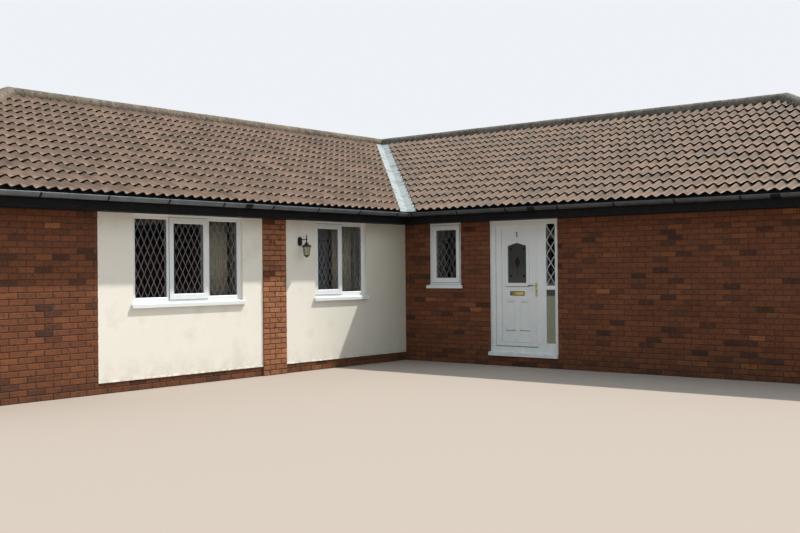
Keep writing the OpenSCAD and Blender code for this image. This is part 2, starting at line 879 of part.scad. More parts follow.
module glasses(list) {
    for (w = list) at_frame(w[0], w[1]) window_glass(frame_h(w[1]), w[1][2]);
}

module sills(list) {
    for (w = list) translate([w[0], 0, w[1][1]]) sill(w[1][0]);
}

yard_left_windows = [[large_x, large], [small_x, small]];
yard_right_windows = [[hall_x, hall]];

module front_window_frames() {
    color("white") {
        yard_left() frames(yard_left_windows);
        yard_right() frames(yard_right_windows);
    }
}

module front_window_sashes() {
    color("white") {
        yard_left() sashes(yard_left_windows);
        yard_right() sashes(yard_right_windows);
    }
}

module front_window_glass() {
    color("slategray") {
        yard_left() glasses(yard_left_windows);
        yard_right() glasses(yard_right_windows);
        yard_right() side_panes();
    }
}

module front_window_sills() {
    color("white") {
        yard_left() sills(yard_left_windows);
        yard_right() sills(yard_right_windows);
    }
}

module rear_window_frames() {
    color("white") {
        back() frames(long_wall_windows);
        side_left() frames(long_wall_windows);
        end_left() frames(end_windows);
        end_right() frames(end_windows);
    }
}

module rear_window_sashes() {
    color("white") {
        back() sashes(long_wall_windows);
        side_left() sashes(long_wall_windows);
        end_left() sashes(end_windows);
        end_right() sashes(end_windows);
    }
}

module rear_window_glass() {
    color("slategray") {
        back() glasses(long_wall_windows);
        side_left() glasses(long_wall_windows);
        end_left() glasses(end_windows);
        end_right() glasses(end_windows);
    }
}

module rear_window_sills() {
    color("white") {
        back() sills(long_wall_windows);
        side_left() sills(long_wall_windows);
        end_left() sills(end_windows);
        end_right() sills(end_windows);
    }
}

// Door frame with its stop, rebate and sidelight
side_lights = [[side_pane_z, transom_z], [transom_z + transom_h, door_top]];

module side_panes() {
    translate([0, reveal, 0]) for (light = side_lights)
        pane(side_x, side_x + side_w, light[0], light[1], pane_y);
}

module door_frame() {
    color("white") yard_right() difference() {
        translate([door_x, reveal, door_foot]) cube([door_set_w, door_d, soffit_z - door_foot]);
        translate([leaf_open_x, 0, lip_foot]) cube([leaf_open_w, wall_t, door_top - lip_foot]);
        translate([leaf_x - leaf_gap, reveal + stop_t, leaf_z - leaf_gap])
            cube([leaf_w + 2 * leaf_gap, wall_t, leaf_h + 2 * leaf_gap]);
        for (light = side_lights)
            translate([0, reveal, 0])
                bevelled_hole(side_x, side_x + side_w, light[0], light[1], 0, door_d);
        side_panes();
    }
}

module door_sill() {
    color("white") yard_right() along(door_x, door_x + door_set_w)
        polygon([[-sill_out, door_sill_z], [reveal + door_d, door_sill_z], [reveal + door_d, door_foot],
            [reveal, door_foot], [-sill_out, door_foot - door_sill_fall]]);
}

// Hinges: the plate and pin stand on the frame, the knuckle and its plate on the leaf
module frame_hinges() {
    color("white") yard_right() for (z = hinge_zs) {
        translate([hinge_x, hinge_y, z]) cylinder(r = hinge_r, h = hinge_split, $fn = round_fn);
        translate([hinge_x, hinge_y, z]) cylinder(r = hinge_pin_r, h = hinge_h, $fn = round_fn);
        translate([hinge_x - hinge_plate_w, leaf_back, z])
            cube([hinge_plate_w, hinge_plate_t, hinge_split]);
    }
}

module leaf_hinges() {
    color("white") yard_right() for (z = hinge_zs) {
        difference() {
            union() {
                translate([hinge_x, hinge_y, z + hinge_split + fit_gap])
                    cylinder(r = hinge_r, h = hinge_h - hinge_split, $fn = round_fn);
                translate([hinge_x, leaf_back, z + hinge_split + fit_gap])
                    cube([hinge_plate_w, hinge_plate_t, hinge_h - hinge_split]);
            }
            translate([hinge_x, hinge_y, z]) cylinder(r = hinge_pin_r + hinge_fit,
                h = 2 * hinge_h, $fn = round_fn);
        }
    }
}

// Outline of the leaf's light, grown by a margin
module light_outline(grow) {
    w = light_w / 2 + grow;
    polygon([[leaf_mid - w, light_z - grow], [leaf_mid + w, light_z - grow],
        [leaf_mid + w, light_z + light_h + grow], [leaf_mid, light_z + light_h + light_peak + grow],
        [leaf_mid - w, light_z + light_h + grow]]);
}

// A plate parallel to the wall, from depth y0 to y1
module plate(y0, y1) { translate([0, y1, 0]) rotate([90, 0, 0]) linear_extrude(y1 - y0) children(); }

// Ring of a bead, from one margin round the light to another
module light_bead(grow) {
    plate(mould_y - mould_t - mould_bead_t, mould_y + cut) difference() {
        light_outline(grow);
        light_outline(grow - mould_bead);
    }
}

module light_ledge() {
    w = light_w / 2 + light_mould;
    plate(mould_y - mould_t - 2 * mould_bead_t, mould_y + cut)
        translate([leaf_mid - w, light_z - light_mould]) square([2 * w, ledge_h]);
}

module panel_ring(x) {
    plate(mould_y - mould_t, mould_y + cut) difference() {
        translate([x, panel_z]) square([panel_w, panel_h]);
        translate([x + panel_mould, panel_z + panel_mould])
            square([panel_w - 2 * panel_mould, panel_h - 2 * panel_mould]);
    }
    plate(mould_y - mould_t / 2, mould_y + cut) translate([x + panel_w / 2, panel_z + panel_mould - cut])
        polygon([[-fan_w / 2, 0], [fan_w / 2, 0], [fan_w / 2, fan_h / 3], [fan_w / 4, fan_h],
            [-fan_w / 4, fan_h], [-fan_w / 2, fan_h / 3]]);
}

module door_leaf() {
    field_x0 = leaf_open_x + stile_w;
    field_x1 = leaf_open_x + leaf_open_w - stile_w;
    field_z0 = lip_foot + bottom_rail_h;
    field_z1 = door_top - frame_face;
    color("white") yard_right() difference() {
        union() {
            difference() {
                translate([leaf_x, leaf_y, leaf_z]) cube([leaf_w, leaf_t, leaf_h]);
                translate([field_x0, leaf_y - cut, field_z0])
                    cube([field_x1 - field_x0, field_in + cut, field_z1 - field_z0]);
            }
            plate(mould_y - mould_t, mould_y + cut) light_outline(light_mould);
            light_bead(light_mould);
            light_bead(mould_bead);
            light_ledge();
            panel_ring(leaf_mid - panel_gap / 2 - panel_w + panel_mould / 2);
            panel_ring(leaf_mid + panel_gap / 2 - panel_mould / 2);
        }
        plate(0, wall_t) light_outline(0);
        plate(leaf_glass_y, leaf_glass_y + pane_t) light_outline(pane_grip);
    }
}

leaf_glass_in = 12;
leaf_glass_y = leaf_y + leaf_glass_in;

module door_glass() {
    color("slategray") yard_right() plate(leaf_glass_y, leaf_glass_y + pane_t) light_outline(pane_grip);
}

letter_t = 6;
flap_in = 12;

module letter_plate() {
    color("goldenrod") yard_right() difference() {
        translate([leaf_mid - letter_w / 2, mould_y - letter_t, letter_z])
            cube([letter_w, letter_t, letter_h]);
        translate([leaf_mid - letter_w / 2 + flap_in, mould_y - letter_t - cut, letter_z + flap_in])
            cube([letter_w - 2 * flap_in, letter_t / 2 + cut, letter_h - 2 * flap_in]);
    }
}

// Lever handle on its long plate, outside, and its twin inside
handle_x = leaf_open_x + leaf_open_w - handle_in;
handle_t = 8;
lever_z = handle_z + 0.8 * handle_h;
lever_len = 115;
lever_out = 45;
lever_r = 8;

module handle() {
    translate([handle_x - handle_w / 2, -handle_t, handle_z]) cube([handle_w, handle_t, handle_h]);
    rod([handle_x, 0, lever_z], [handle_x, -lever_out, lever_z], lever_r);
    rod([handle_x, -lever_out, lever_z], [handle_x - lever_len, -lever_out, lever_z], lever_r);
    translate([handle_x, -lever_out, lever_z]) sphere(r = lever_r, $fn = 32);
    translate([handle_x - lever_len, -lever_out, lever_z]) sphere(r = lever_r, $fn = 32);
}

module door_handles() {
    color("goldenrod") yard_right() {
        intersection() {
            translate([0, leaf_y, 0]) handle();
            translate([0, leaf_y - wall_t, 0]) cube([far, wall_t, tall]);
        }
        intersection() {
            translate([0, leaf_back, 0]) mirror([0, 1, 0]) handle();
            translate([0, leaf_back, 0]) cube([far, wall_t, tall]);
        }
    }
}

number_stroke = 14;
number_t = 5;
flag_out = 11;                               // the numeral's flag, out from its stem
flag_h = 14;

module door_number() {
    x0 = leaf_mid - number_stroke / 2;
    x1 = leaf_mid + number_stroke / 2;
    top = number_z + number_h;
    color("dimgray") yard_right() plate(mould_y - number_t, mould_y)
        polygon([[x0, number_z], [x1, number_z], [x1, top], [leaf_mid, top], [x0 - flag_out, top - flag_h],
            [x0 - flag_out, top - 2 * flag_h], [x0, top - flag_h - flag_out]]);
}

// Six-sided lantern on a wall bracket
lantern_x = pier_x1 + lantern_in;
lantern_sides = 6;
plate_w = 84;
plate_h = 135;
plate_t = 12;
plate_mid_z = lantern_arm_z - plate_h / 5;
brim_t = 21;
roof_h = 60;
neck_drop_z = 30;                            // top of the roof, under the arm
neck_top_z = lantern_arm_z - neck_drop_z;
brim_z = neck_top_z - roof_h - brim_t;
glass_foot_z = brim_z - lantern_glass_h;
finial_h = 67;
finial_z = lantern_arm_z + finial_h;
arm_r = 7;
bar_r = 3;
glass_in = bar_r + 2 * fit_gap;              // from the bars' axes to the panes
flare_h = 16;                                // flat foot of the roof, under its steep top
flare_r = 34;
tip_h = 37;

module lantern_frame() { translate([lantern_x, -lantern_out, 0]) children(); }

module wall_lantern() {
    color("black") yard_left() {
        translate([lantern_x, 0, plate_mid_z]) rotate([90, 0, 0]) {
            for (side = [-1, 1]) translate([0, side * (plate_h - plate_w) / 2, 0])
                cylinder(r = plate_w / 2, h = plate_t, $fn = round_fn);
            translate([-plate_w / 2, -(plate_h - plate_w) / 2, 0])
                cube([plate_w, plate_h - plate_w, plate_t]);
            cylinder(r = plate_w / 4, h = 2 * plate_t, $fn = round_fn);
        }
        rod([lantern_x, -plate_t, lantern_arm_z], [lantern_x, -lantern_out, lantern_arm_z], arm_r);
        lantern_frame() {
            translate([0, 0, neck_top_z]) cylinder(r = arm_r, h = finial_z - neck_top_z, $fn = round_fn);
            translate([0, 0, lantern_arm_z]) sphere(r = 2 * arm_r, $fn = round_fn);
            translate([0, 0, brim_z]) cylinder(r = lantern_roof_r, h = brim_t, $fn = lantern_sides);
            translate([0, 0, brim_z + brim_t]) cylinder(r1 = lantern_roof_r - arm_r, r2 = flare_r,
                h = flare_h, $fn = lantern_sides);
            translate([0, 0, brim_z + brim_t + flare_h]) cylinder(r1 = flare_r, r2 = arm_r,
                h = roof_h - flare_h, $fn = lantern_sides);
            translate([0, 0, glass_foot_z - arm_r]) cylinder(r = lantern_foot_r + bar_r,
                h = arm_r, $fn = lantern_sides);
            translate([0, 0, glass_foot_z - tip_h]) cylinder(r1 = arm_r, r2 = lantern_foot_r,
                h = tip_h - arm_r, $fn = lantern_sides);
            for (i = [1:lantern_sides]) rotate([0, 0, i * 360 / lantern_sides])
                rod([lantern_foot_r, 0, glass_foot_z - bar_r], [lantern_top_r, 0, brim_z + bar_r], bar_r);
        }
    }
}

module lantern_glass() {
    color("lightblue") yard_left() lantern_frame() translate([0, 0, glass_foot_z]) difference() {
        cylinder(r1 = lantern_foot_r - glass_in, r2 = lantern_top_r - glass_in, h = lantern_glass_h,
            $fn = lantern_sides);
        translate([0, 0, -cut]) cylinder(r1 = lantern_foot_r - glass_in - bar_r,
            r2 = lantern_top_r - glass_in - bar_r, h = lantern_glass_h + 2 * cut, $fn = lantern_sides);
    }
}

// Curtains in even folds, hung close under their rails
rail_y = wall_t + rail_off;
rail_z = soffit_z + rail_rise;

module rail(x0, x1) {
    rod([x0, rail_y, rail_z], [x1, rail_y, rail_z], rail_r);
    for (x = [x0 + 4 * rail_r, x1 - 4 * rail_r])
        translate([x - rail_r, wall_t, rail_z - rail_r]) cube([2 * rail_r, rail_off, rail_r]);
}

module curtain_rails() {
    color("white") yard_left() {
        rail(large_x, large_x + large_w);
        rail(small_x, small_x + small_w);
    }
}

// Cloth of a number of whole folds, with its two faces as waves
fold_steps = 8;
wide_folds = 6;
narrow_folds = [3, 4];

module curtain(x0, folds) {
    steps = fold_steps * folds;
    wave = [for (i = [0:steps]) [x0 + i * fold_w / fold_steps, fold_d * sin(i * 360 / fold_steps)]];
    face = [for (p = wave) [p[0], rail_y + p[1] - cloth_t / 2]];
    rear = [for (i = [steps:-1:0]) [wave[i][0], rail_y + wave[i][1] + cloth_t / 2]];
    translate([0, 0, curtain_z]) linear_extrude(rail_z - rail_r - fit_gap / 2 - curtain_z)
        polygon(concat(face, rear));
}

module curtains() {
    color("beige") yard_left() {
        curtain(large_x + large_w - wide_folds * fold_w, wide_folds);
        curtain(small_x, narrow_folds[0]);
        curtain(small_x + small_w - narrow_folds[1] * fold_w, narrow_folds[1]);
    }
}

floor_slab();
ceiling();
brick_end_panel();
render_panel_left();
brick_pier();
render_panel_right();
front_wall_left();
front_wall_over_door();
front_wall_right();
doorway_base();
right_end_wall();
back_wall();
left_side_wall();
left_end_wall();
roof_left_inner();
roof_left_outer();
roof_left_end();
roof_right_front();
roof_right_back();
roof_right_end();
ridge_tiles_left();
ridge_tiles_right();
yard_hip_tiles();
rear_hip_tiles();
valley_boards();
valley_trough();
side_fascias();
front_fascias();
side_soffits();
front_soffits();
yard_gutter_left();
yard_gutter_right();
outer_side_gutters();
outer_front_gutters();
gutter_brackets();
downpipes();
front_window_frames();
front_window_sashes();
front_window_glass();
front_window_sills();
rear_window_frames();
rear_window_sashes();
rear_window_glass();
rear_window_sills();
door_frame();
door_sill();
frame_hinges();
door_leaf();
door_glass();
letter_plate();
door_handles();
door_number();
leaf_hinges();
wall_lantern();
lantern_glass();
curtain_rails();
curtains();
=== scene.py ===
# %% [markdown]
# # Dressing an L-shaped bungalow
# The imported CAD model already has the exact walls, slopes, joinery and front door. This lesson
# keeps those solids where they are right and lays the small repeated work over them: bricks, roof
# tiles, leads in the windows, curtains. Everything is in metres and in the CAD model's own frame.

# %% Load the frame
import bpy, bmesh, math
import numpy as np
from mathutils import Matrix, Vector


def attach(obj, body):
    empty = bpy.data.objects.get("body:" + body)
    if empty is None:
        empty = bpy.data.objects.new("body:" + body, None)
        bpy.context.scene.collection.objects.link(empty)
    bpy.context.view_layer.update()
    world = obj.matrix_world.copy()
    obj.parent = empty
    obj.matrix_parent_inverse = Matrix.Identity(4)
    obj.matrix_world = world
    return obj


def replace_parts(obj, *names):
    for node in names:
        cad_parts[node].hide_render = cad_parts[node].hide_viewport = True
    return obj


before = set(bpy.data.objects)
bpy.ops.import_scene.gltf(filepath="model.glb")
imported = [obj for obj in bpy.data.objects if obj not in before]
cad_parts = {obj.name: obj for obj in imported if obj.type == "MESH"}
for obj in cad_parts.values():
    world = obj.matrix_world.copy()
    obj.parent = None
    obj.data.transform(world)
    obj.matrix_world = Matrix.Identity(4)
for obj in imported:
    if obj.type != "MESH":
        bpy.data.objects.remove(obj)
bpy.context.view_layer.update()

# %% [markdown]
# ## The main measures of the house
# Every piece below is set out from the same few sizes as the CAD source: the inner corner of the
# L, the level of the soffit, the pitch of the roof. Naming them once keeps the pieces in step.

# %% Sizes from the source
HALF = 7.819
CORNER = Vector((-0.811, 0.811, 0))
WING_W, WING_RUN = 7.008, 8.630
LONG = WING_W + WING_RUN
WALL_T = 0.275
PLINTH_TOP, SOFFIT = 0.135, 2.250
PITCH = math.radians(25)
TILE_OVER = 0.298
EAVE = 2.500
SPAN = WING_W / 2
SLOPE_LEN = (SPAN + TILE_OVER) / math.cos(PITCH)
RIDGE = EAVE + (SPAN + TILE_OVER) * math.tan(PITCH)
REVEAL = 0.040
print("ridge at", round(RIDGE, 3), "slope", round(SLOPE_LEN, 3))

# %% [markdown]
# ## One frame for each wall
# On a building site each wall is set out from its own corner. The same is done here: X runs along
# the wall to the right as seen from outside, Y goes inwards from the face and Z goes up. A turn and
# a shift then put the work in its place on the house.


# %% Wall frames
def standing_at(x, y, turn):
    return Matrix.Translation((x, y, 0)) @ Matrix.Rotation(math.radians(turn), 4, "Z")


WALLS = {
    "yard_right": standing_at(CORNER.x, CORNER.y, 0),
    "yard_left": standing_at(CORNER.x, CORNER.y, 90),
    "end_right": standing_at(HALF, CORNER.y, 90),
    "back": standing_at(HALF, HALF, 180),
    "side_left": standing_at(-HALF, HALF, 270),
    "end_left": standing_at(-HALF, -HALF, 0),
}
print(len(WALLS), "walls")

# %% [markdown]
# ## The camera
# The photograph was solved from its vanishing lines, so this camera stands where the real one
# stood, with the same lens. Blender looks along minus Z of a camera, so the matrix is built from
# the directions right, up and back.

# %% Camera
CAMERA_AT, LENS = (10.194, -12.680, 1.4965), 46.886
yaw, tilt, roll = (math.radians(a) for a in (39.506, 0.203, -0.511))
ahead = Vector((-math.sin(yaw) * math.cos(tilt), math.cos(yaw) * math.cos(tilt), math.sin(tilt)))
level_right = Vector((math.cos(yaw), math.sin(yaw), 0))
level_up = level_right.cross(ahead)
right = math.cos(roll) * level_right + math.sin(roll) * level_up
up = math.cos(roll) * level_up - math.sin(roll) * level_right
lens = bpy.data.cameras.new("photo lens")
lens.lens, lens.sensor_width, lens.clip_end = LENS, 36, 500
camera = bpy.data.objects.new("camera", lens)
facing = Matrix((right, up, -ahead)).transposed().to_4x4()
camera.matrix_world = Matrix.Translation(CAMERA_AT) @ facing
bpy.context.scene.collection.objects.link(camera)
bpy.context.scene.camera = camera
bpy.context.scene.view_settings.view_transform = "Standard"
print("camera height", round(camera.matrix_world.translation.z, 3))

# %% [markdown]
# ## Making nodes with few words
# Materials are networks of nodes. These helpers add one node, fill its inputs and join the ones
# that are given as sockets, so that each finish below reads like a list of its layers. A colour
# is written as three numbers from 0 to 255, as a paint program shows it.


# %% Node helpers
def colour(red, green, blue):
    """An sRGB colour from 0 to 255 as the linear one that nodes want"""
    parts = [c / 255 for c in (red, green, blue)]
    return [c / 12.92 if c < 0.04045 else ((c + 0.055) / 1.055) ** 2.4 for c in parts] + [1]


def feed(tree, place, value):
    """Joins a socket to an input, or sets the input to a value or a colour"""
    if isinstance(value, bpy.types.NodeSocket):
        tree.links.new(value, place)
    else:
        place.default_value = colour(*value) if type(value) is tuple and len(value) == 3 else value


def add(tree, kind, inputs=None, **settings):
    """One shader node; Blender's full name of its kind starts with ShaderNode"""
    made = tree.nodes.new("ShaderNode" + kind)
    for name, value in settings.items():
        setattr(made, name, value)
    for name, value in (inputs or {}).items():
        feed(tree, made.inputs[name], value)
    return made


def reckon(tree, how, *values):
    """One step of arithmetic, such as MULTIPLY or SINE"""
    return add(tree, "Math", dict(enumerate(values)), operation=how).outputs[0]


def rise(tree, value, low, high, start=0.0, end=1.0):
    """Goes from start to end while the value goes from low to high"""
    return add(tree, "MapRange", {0: value, 1: low, 2: high, 3: start, 4: end}).outputs[0]


def part(tree, vector, letter):
    return add(tree, "SeparateXYZ", {0: vector}).outputs[letter]


def place_of(tree):
    """Where a point lies on the house, in Object coordinates"""
    return add(tree, "TexCoord").outputs["Object"]


print("mid grey", [round(c, 3) for c in colour(128, 128, 128)])

# %% [markdown]
# ## Daylight
# The sun stands behind the right wing, about fifty-six degrees up: it rakes down the rendered wall
# and leaves the brick wall in the open shade. A bluish world fills the shade, brighter overhead
# and on the sun's side than at the horizon behind the camera, so that ledges and undersides read.
# The camera sees the world as a plain pale backdrop, and so do gloss and glass.

# %% Sun and world
sun_way = Vector((0.279, 0.475, 0.834)).normalized()
sun = bpy.data.lights.new("sun", "SUN")
sun.energy, sun.angle = 5.0, math.radians(1.2)
sun.color = (1.0, 0.965, 0.91)
sun_lamp = bpy.data.objects.new("sun", sun)
sun_lamp.rotation_euler = sun_way.to_track_quat("Z", "Y").to_euler()
bpy.context.scene.collection.objects.link(sun_lamp)

world = bpy.data.worlds.new("daylight")
bpy.context.scene.world = world
world.use_nodes = True
sky = world.node_tree
sky.nodes.clear()
rays = add(sky, "LightPath").outputs
seen = reckon(sky, "MAXIMUM", rays["Is Camera Ray"], rays["Is Glossy Ray"])
seen = reckon(sky, "MAXIMUM", seen, rays["Is Transmission Ray"])
way = add(sky, "TexCoord").outputs["Generated"]
to_sun = add(sky, "VectorMath", {0: way, 1: sun_way}, operation="DOT_PRODUCT").outputs["Value"]
overhead = rise(sky, part(sky, way, "Z"), -0.1, 0.9, 0.42, 1.00)
sunny = rise(sky, to_sun, -1.0, 1.0, 0.30, 1.45)
strength = reckon(sky, "MULTIPLY", overhead, sunny)
fill = add(sky, "Background", {"Color": (0.86, 0.94, 1.0, 1), "Strength": strength})
backdrop = add(sky, "Background", {"Color": (0.86, 0.89, 0.93, 1), "Strength": 1.0})
blend_sky = add(sky, "MixShader", {0: seen, 1: fill.outputs[0], 2: backdrop.outputs[0]})
add(sky, "OutputWorld", {"Surface": blend_sky.outputs[0]})
print("sun energy", sun.energy)

# %% [markdown]
# ## Effects that several finishes share
# Real surfaces are never one colour. Three effects are built once as node groups: blotches mix
# two colours in soft patches, grain gives a height for bump, and splash marks the foot of a wall
# where rain throws up dirt. Each material places them with its own values.


# %% Effect groups
def effect(name, takes, gives):
    """A new group with its inputs, by their values, and its one output"""
    group = bpy.data.node_groups.new(name, "ShaderNodeTree")
    for label, value in takes.items():
        kind = "NodeSocketFloat" if isinstance(value, float) else "NodeSocketColor"
        made = group.interface.new_socket(label, in_out="INPUT", socket_type=kind)
        made.default_value = value
    kind = "NodeSocketColor" if gives == "Color" else "NodeSocketFloat"
    group.interface.new_socket(gives, in_out="OUTPUT", socket_type=kind)
    return group, group.nodes.new("NodeGroupInput").outputs, group.nodes.new("NodeGroupOutput").inputs[0]


def noise(tree, place, scale, detail, roughness=0.5):
    return add(tree, "TexNoise", {"Vector": place, "Scale": scale, "Detail": detail,
                                            "Roughness": roughness}).outputs["Fac"]


def blotches_group():
    group, given, result = effect("blotches", {"First": (0.5, 0.5, 0.5, 1), "Second": (0.3, 0.3, 0.3, 1),
                                               "Scale": 4.0, "Share": 0.5, "Softness": 0.15}, "Color")
    cloud = noise(group, place_of(group), given["Scale"], 5.0, 0.62)
    low, high = (reckon(group, how, given["Share"], given["Softness"]) for how in ("SUBTRACT", "ADD"))
    mask = rise(group, cloud, low, high, 1.0, 0.0)
    mixed = add(group, "Mix", {0: mask, 6: given["Second"], 7: given["First"]}, data_type="RGBA")
    feed(group, result, mixed.outputs[2])
    return group


def grain_group():
    group, given, result = effect("grain", {"Scale": 100.0, "Coarse": 0.4}, "Height")
    place = place_of(group)
    fine = noise(group, place, given["Scale"], 4.0)
    wide = noise(group, place, reckon(group, "MULTIPLY", given["Scale"], 0.18), 2.0)
    both = add(group, "Mix", {0: given["Coarse"], 2: fine, 3: wide}, data_type="FLOAT")
    feed(group, result, both.outputs[0])
    return group


def splash_group():
    group, given, result = effect("splash", {"Foot": 0.1, "Reach": 0.3, "Scale": 6.0}, "Mask")
    place = place_of(group)
    top = reckon(group, "ADD", given["Foot"], given["Reach"])
    fade = rise(group, part(group, place, "Z"), given["Foot"], top, 1.0, 0.0)
    patch = rise(group, noise(group, place, given["Scale"], 6.0, 0.7), 0.38, 0.62)
    feed(group, result, reckon(group, "MULTIPLY", fade, patch))
    return group


BLOTCHES, GRAIN, SPLASH = blotches_group(), grain_group(), splash_group()
print("effects", [g.name for g in (BLOTCHES, GRAIN, SPLASH)])


# %% Placing the effects in a material
def placed(tree, group, **values):
    inputs = {name.capitalize(): value for name, value in values.items()}
    return add(tree, "Group", inputs, node_tree=group).outputs[0]


def blotches(tree, first, second, scale, share=0.5, softness=0.15):
    return placed(tree, BLOTCHES, first=first, second=second, scale=scale, share=share, softness=softness)


def grain(tree, scale, coarse=0.4):
    return placed(tree, GRAIN, scale=scale, coarse=coarse)


def splash(tree, foot, reach, scale):
    return placed(tree, SPLASH, foot=foot, reach=reach, scale=scale)


def over(tree, mask, top, base, share=1.0):
    """One colour laid over another where a mask says so"""
    factor = reckon(tree, "MULTIPLY", mask, share)
    return add(tree, "Mix", {0: factor, 6: base, 7: top}, data_type="RGBA").outputs[2]


def tone_of(tree):
    """The random number of the brick, tile or cap that a point lies on"""
    return add(tree, "Attribute", attribute_name="tone").outputs["Fac"]


def new_finish(name):
    material = bpy.data.materials.new(name)
    material.use_nodes = True
    material.node_tree.nodes.clear()
    return material, material.node_tree


def surface(material, body, rough, gloss, height=None, depth=0.002, strength=1.0, more=None):
    """The Principled shader at the end of a finish, with its bump"""
    tree = material.node_tree
    inputs = {"Base Color": body, "Roughness": rough, "Specular IOR Level": gloss, **(more or {})}
    if height is not None:
        bump = add(tree, "Bump", {"Height": height, "Distance": depth, "Strength": strength})
        inputs["Normal"] = bump.outputs[0]
    shader = add(tree, "BsdfPrincipled", inputs)
    add(tree, "OutputMaterial", {"Surface": shader.outputs[0]})
    return material


def layered(name, light, dark, scale, patches=(), share=0.5, softness=0.15, rough=0.93, gloss=0.2,
            size=200.0, coarse=0.4, deep=0.0005, strength=0.8):
    """Two colours in blotches, patches of (colour, scale, share, softness) over them, and a grain"""
    material, tree = new_finish(name)
    body = blotches(tree, light, dark, scale, share, softness)
    for patch, *how in patches:
        body = blotches(tree, patch, body, *how)
    return surface(material, body, rough, gloss, grain(tree, size, coarse), deep, strength)


print("helpers ready")

# %% [markdown]
# ## Laying many like pieces
# A wall has thousands of bricks and a roof thousands of tiles. One pattern is modelled with
# bmesh operators, then an array of places turns it into one joined mesh. Each copy also gets a
# tone, a random number kept as an attribute, so that the finish can make every brick a little
# different.


# %% Array of a pattern
def pattern_from(bm, name="pattern"):
    mesh = bpy.data.meshes.new(name)
    bm.to_mesh(mesh)
    bm.free()
    return mesh


def laid(name, pattern, places, tones):
    """Joined mesh with one copy of the pattern at each place"""
    points = np.array([(*v.co, 1) for v in pattern.vertices])
    corners = np.array([l.vertex_index for l in pattern.loops])
    starts = np.array([p.loop_start for p in pattern.polygons])
    count = len(places)
    moved = np.einsum("nij,vj->nvi", np.array([[list(r) for r in m] for m in places]), points)[..., :3]
    step = np.arange(count)[:, None]
    mesh = bpy.data.meshes.new(name)
    mesh.vertices.add(count * len(points))
    mesh.vertices.foreach_set("co", moved.astype(np.float32).ravel())
    mesh.loops.add(count * len(corners))
    mesh.loops.foreach_set("vertex_index", (corners + step * len(points)).astype(np.int32).ravel())
    mesh.polygons.add(count * len(starts))
    mesh.polygons.foreach_set("loop_start", (starts + step * len(corners)).astype(np.int32).ravel())
    mesh.polygons.foreach_set("material_index", [p.material_index for p in pattern.polygons] * count)
    mesh.update(calc_edges=True)
    tone = mesh.attributes.new("tone", "FLOAT", "POINT")
    tone.data.foreach_set("value", np.repeat(np.array(tones, np.float32), len(points)))
    for layer in pattern.uv_layers:
        flat = [number for corner in layer.data for number in corner.uv]
        mesh.uv_layers.new(name=layer.name).data.foreach_set("uv", flat * count)
    return mesh


def join(bm, mesh, number):
    """Adds a mesh to a bmesh, with all its faces on the material of that number"""
    known = len(bm.faces)
    bm.from_mesh(mesh)
    bm.faces.ensure_lookup_table()
    for face in bm.faces[known:]:
        face.material_index = number


def between(x0, x1, y0, y1, z0, z1):
    """The matrix that makes a box between these planes of a cube of size 1"""
    middle = Matrix.Translation(((x0 + x1) / 2, (y0 + y1) / 2, (z0 + z1) / 2))
    return middle @ Matrix.Diagonal((x1 - x0, y1 - y0, z1 - z0, 1))


def face_out(bm):
    bmesh.ops.recalc_face_normals(bm, faces=bm.faces)


def trim(bm, point, outward, closing=0):
    """Cuts away what lies beyond a plane and closes the cut with the material of that number"""
    cut = bmesh.ops.bisect_plane(bm, geom=bm.verts[:] + bm.edges[:] + bm.faces[:], plane_co=point,
                                 plane_no=outward, clear_outer=True, dist=1e-6)
    rim = [e for e in cut["geom_cut"] if isinstance(e, bmesh.types.BMEdge) and e.is_boundary]
    if rim:
        for face in bmesh.ops.holes_fill(bm, edges=rim, sides=0)["faces"]:
            face.material_index = closing


def new_points(result):
    """The vertices among what an operator made"""
    return [v for v in result["geom"] if isinstance(v, bmesh.types.BMVert)]


def put_on_house(name, mesh, finishes, body="house", smooth=False):
    for one in finishes:
        mesh.materials.append(one)
    mesh.polygons.foreach_set("use_smooth", [smooth] * len(mesh.polygons))
    piece = bpy.data.objects.new(name, mesh)
    bpy.context.scene.collection.objects.link(piece)
    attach(piece, body)
    return piece


rng = np.random.default_rng(7)
print("array helper ready")

# %% [markdown]
# ## Brick and mortar
# The bricks are a rustic red-brown stock with purple and orange ones among them, and thin dark
# joints. A colour ramp over the tone gives each brick its own body colour, and noise mottles
# every face.

# %% Brick finish
BODY_TONES = (0.0, 0.14, 0.3, 0.62, 0.85, 1.0)


def brick_finish(name, bodies, dust):
    """Bricks with one body colour at each of the body tones, and dust on them"""
    material, tree = new_finish(name)
    ramp = add(tree, "ValToRGB", {"Fac": tone_of(tree)})
    stops = ramp.color_ramp.elements
    for stop, at in ((0, 0), (1, 5)):
        stops[stop].position, stops[stop].color = BODY_TONES[at], colour(*bodies[at])
    for at in range(1, 5):
        stops.new(BODY_TONES[at]).color = colour(*bodies[at])
    burnt = blotches(tree, (70, 42, 36), ramp.outputs["Color"], 16.0, 0.36, 0.10)
    dusty = blotches(tree, dust, burnt, 55.0, 0.33, 0.10)
    moss = over(tree, splash(tree, 0.0, 0.35, 9.0), (58, 52, 40), dusty, 0.55)
    return surface(material, moss, 0.9, 0.12, grain(tree, 260.0, 0.5), 0.003, 0.8)


BRICK = brick_finish("brick", ((66, 46, 38), (84, 54, 42), (102, 63, 45), (114, 70, 48), (126, 78, 51),
                               (146, 94, 60)), (134, 96, 74))
PIER_BRICK = brick_finish("pier brick", ((88, 54, 42), (116, 72, 53), (142, 93, 66), (156, 104, 74),
                                         (170, 114, 80), (188, 130, 90)), (190, 146, 114))
print(BRICK.name, PIER_BRICK.name)

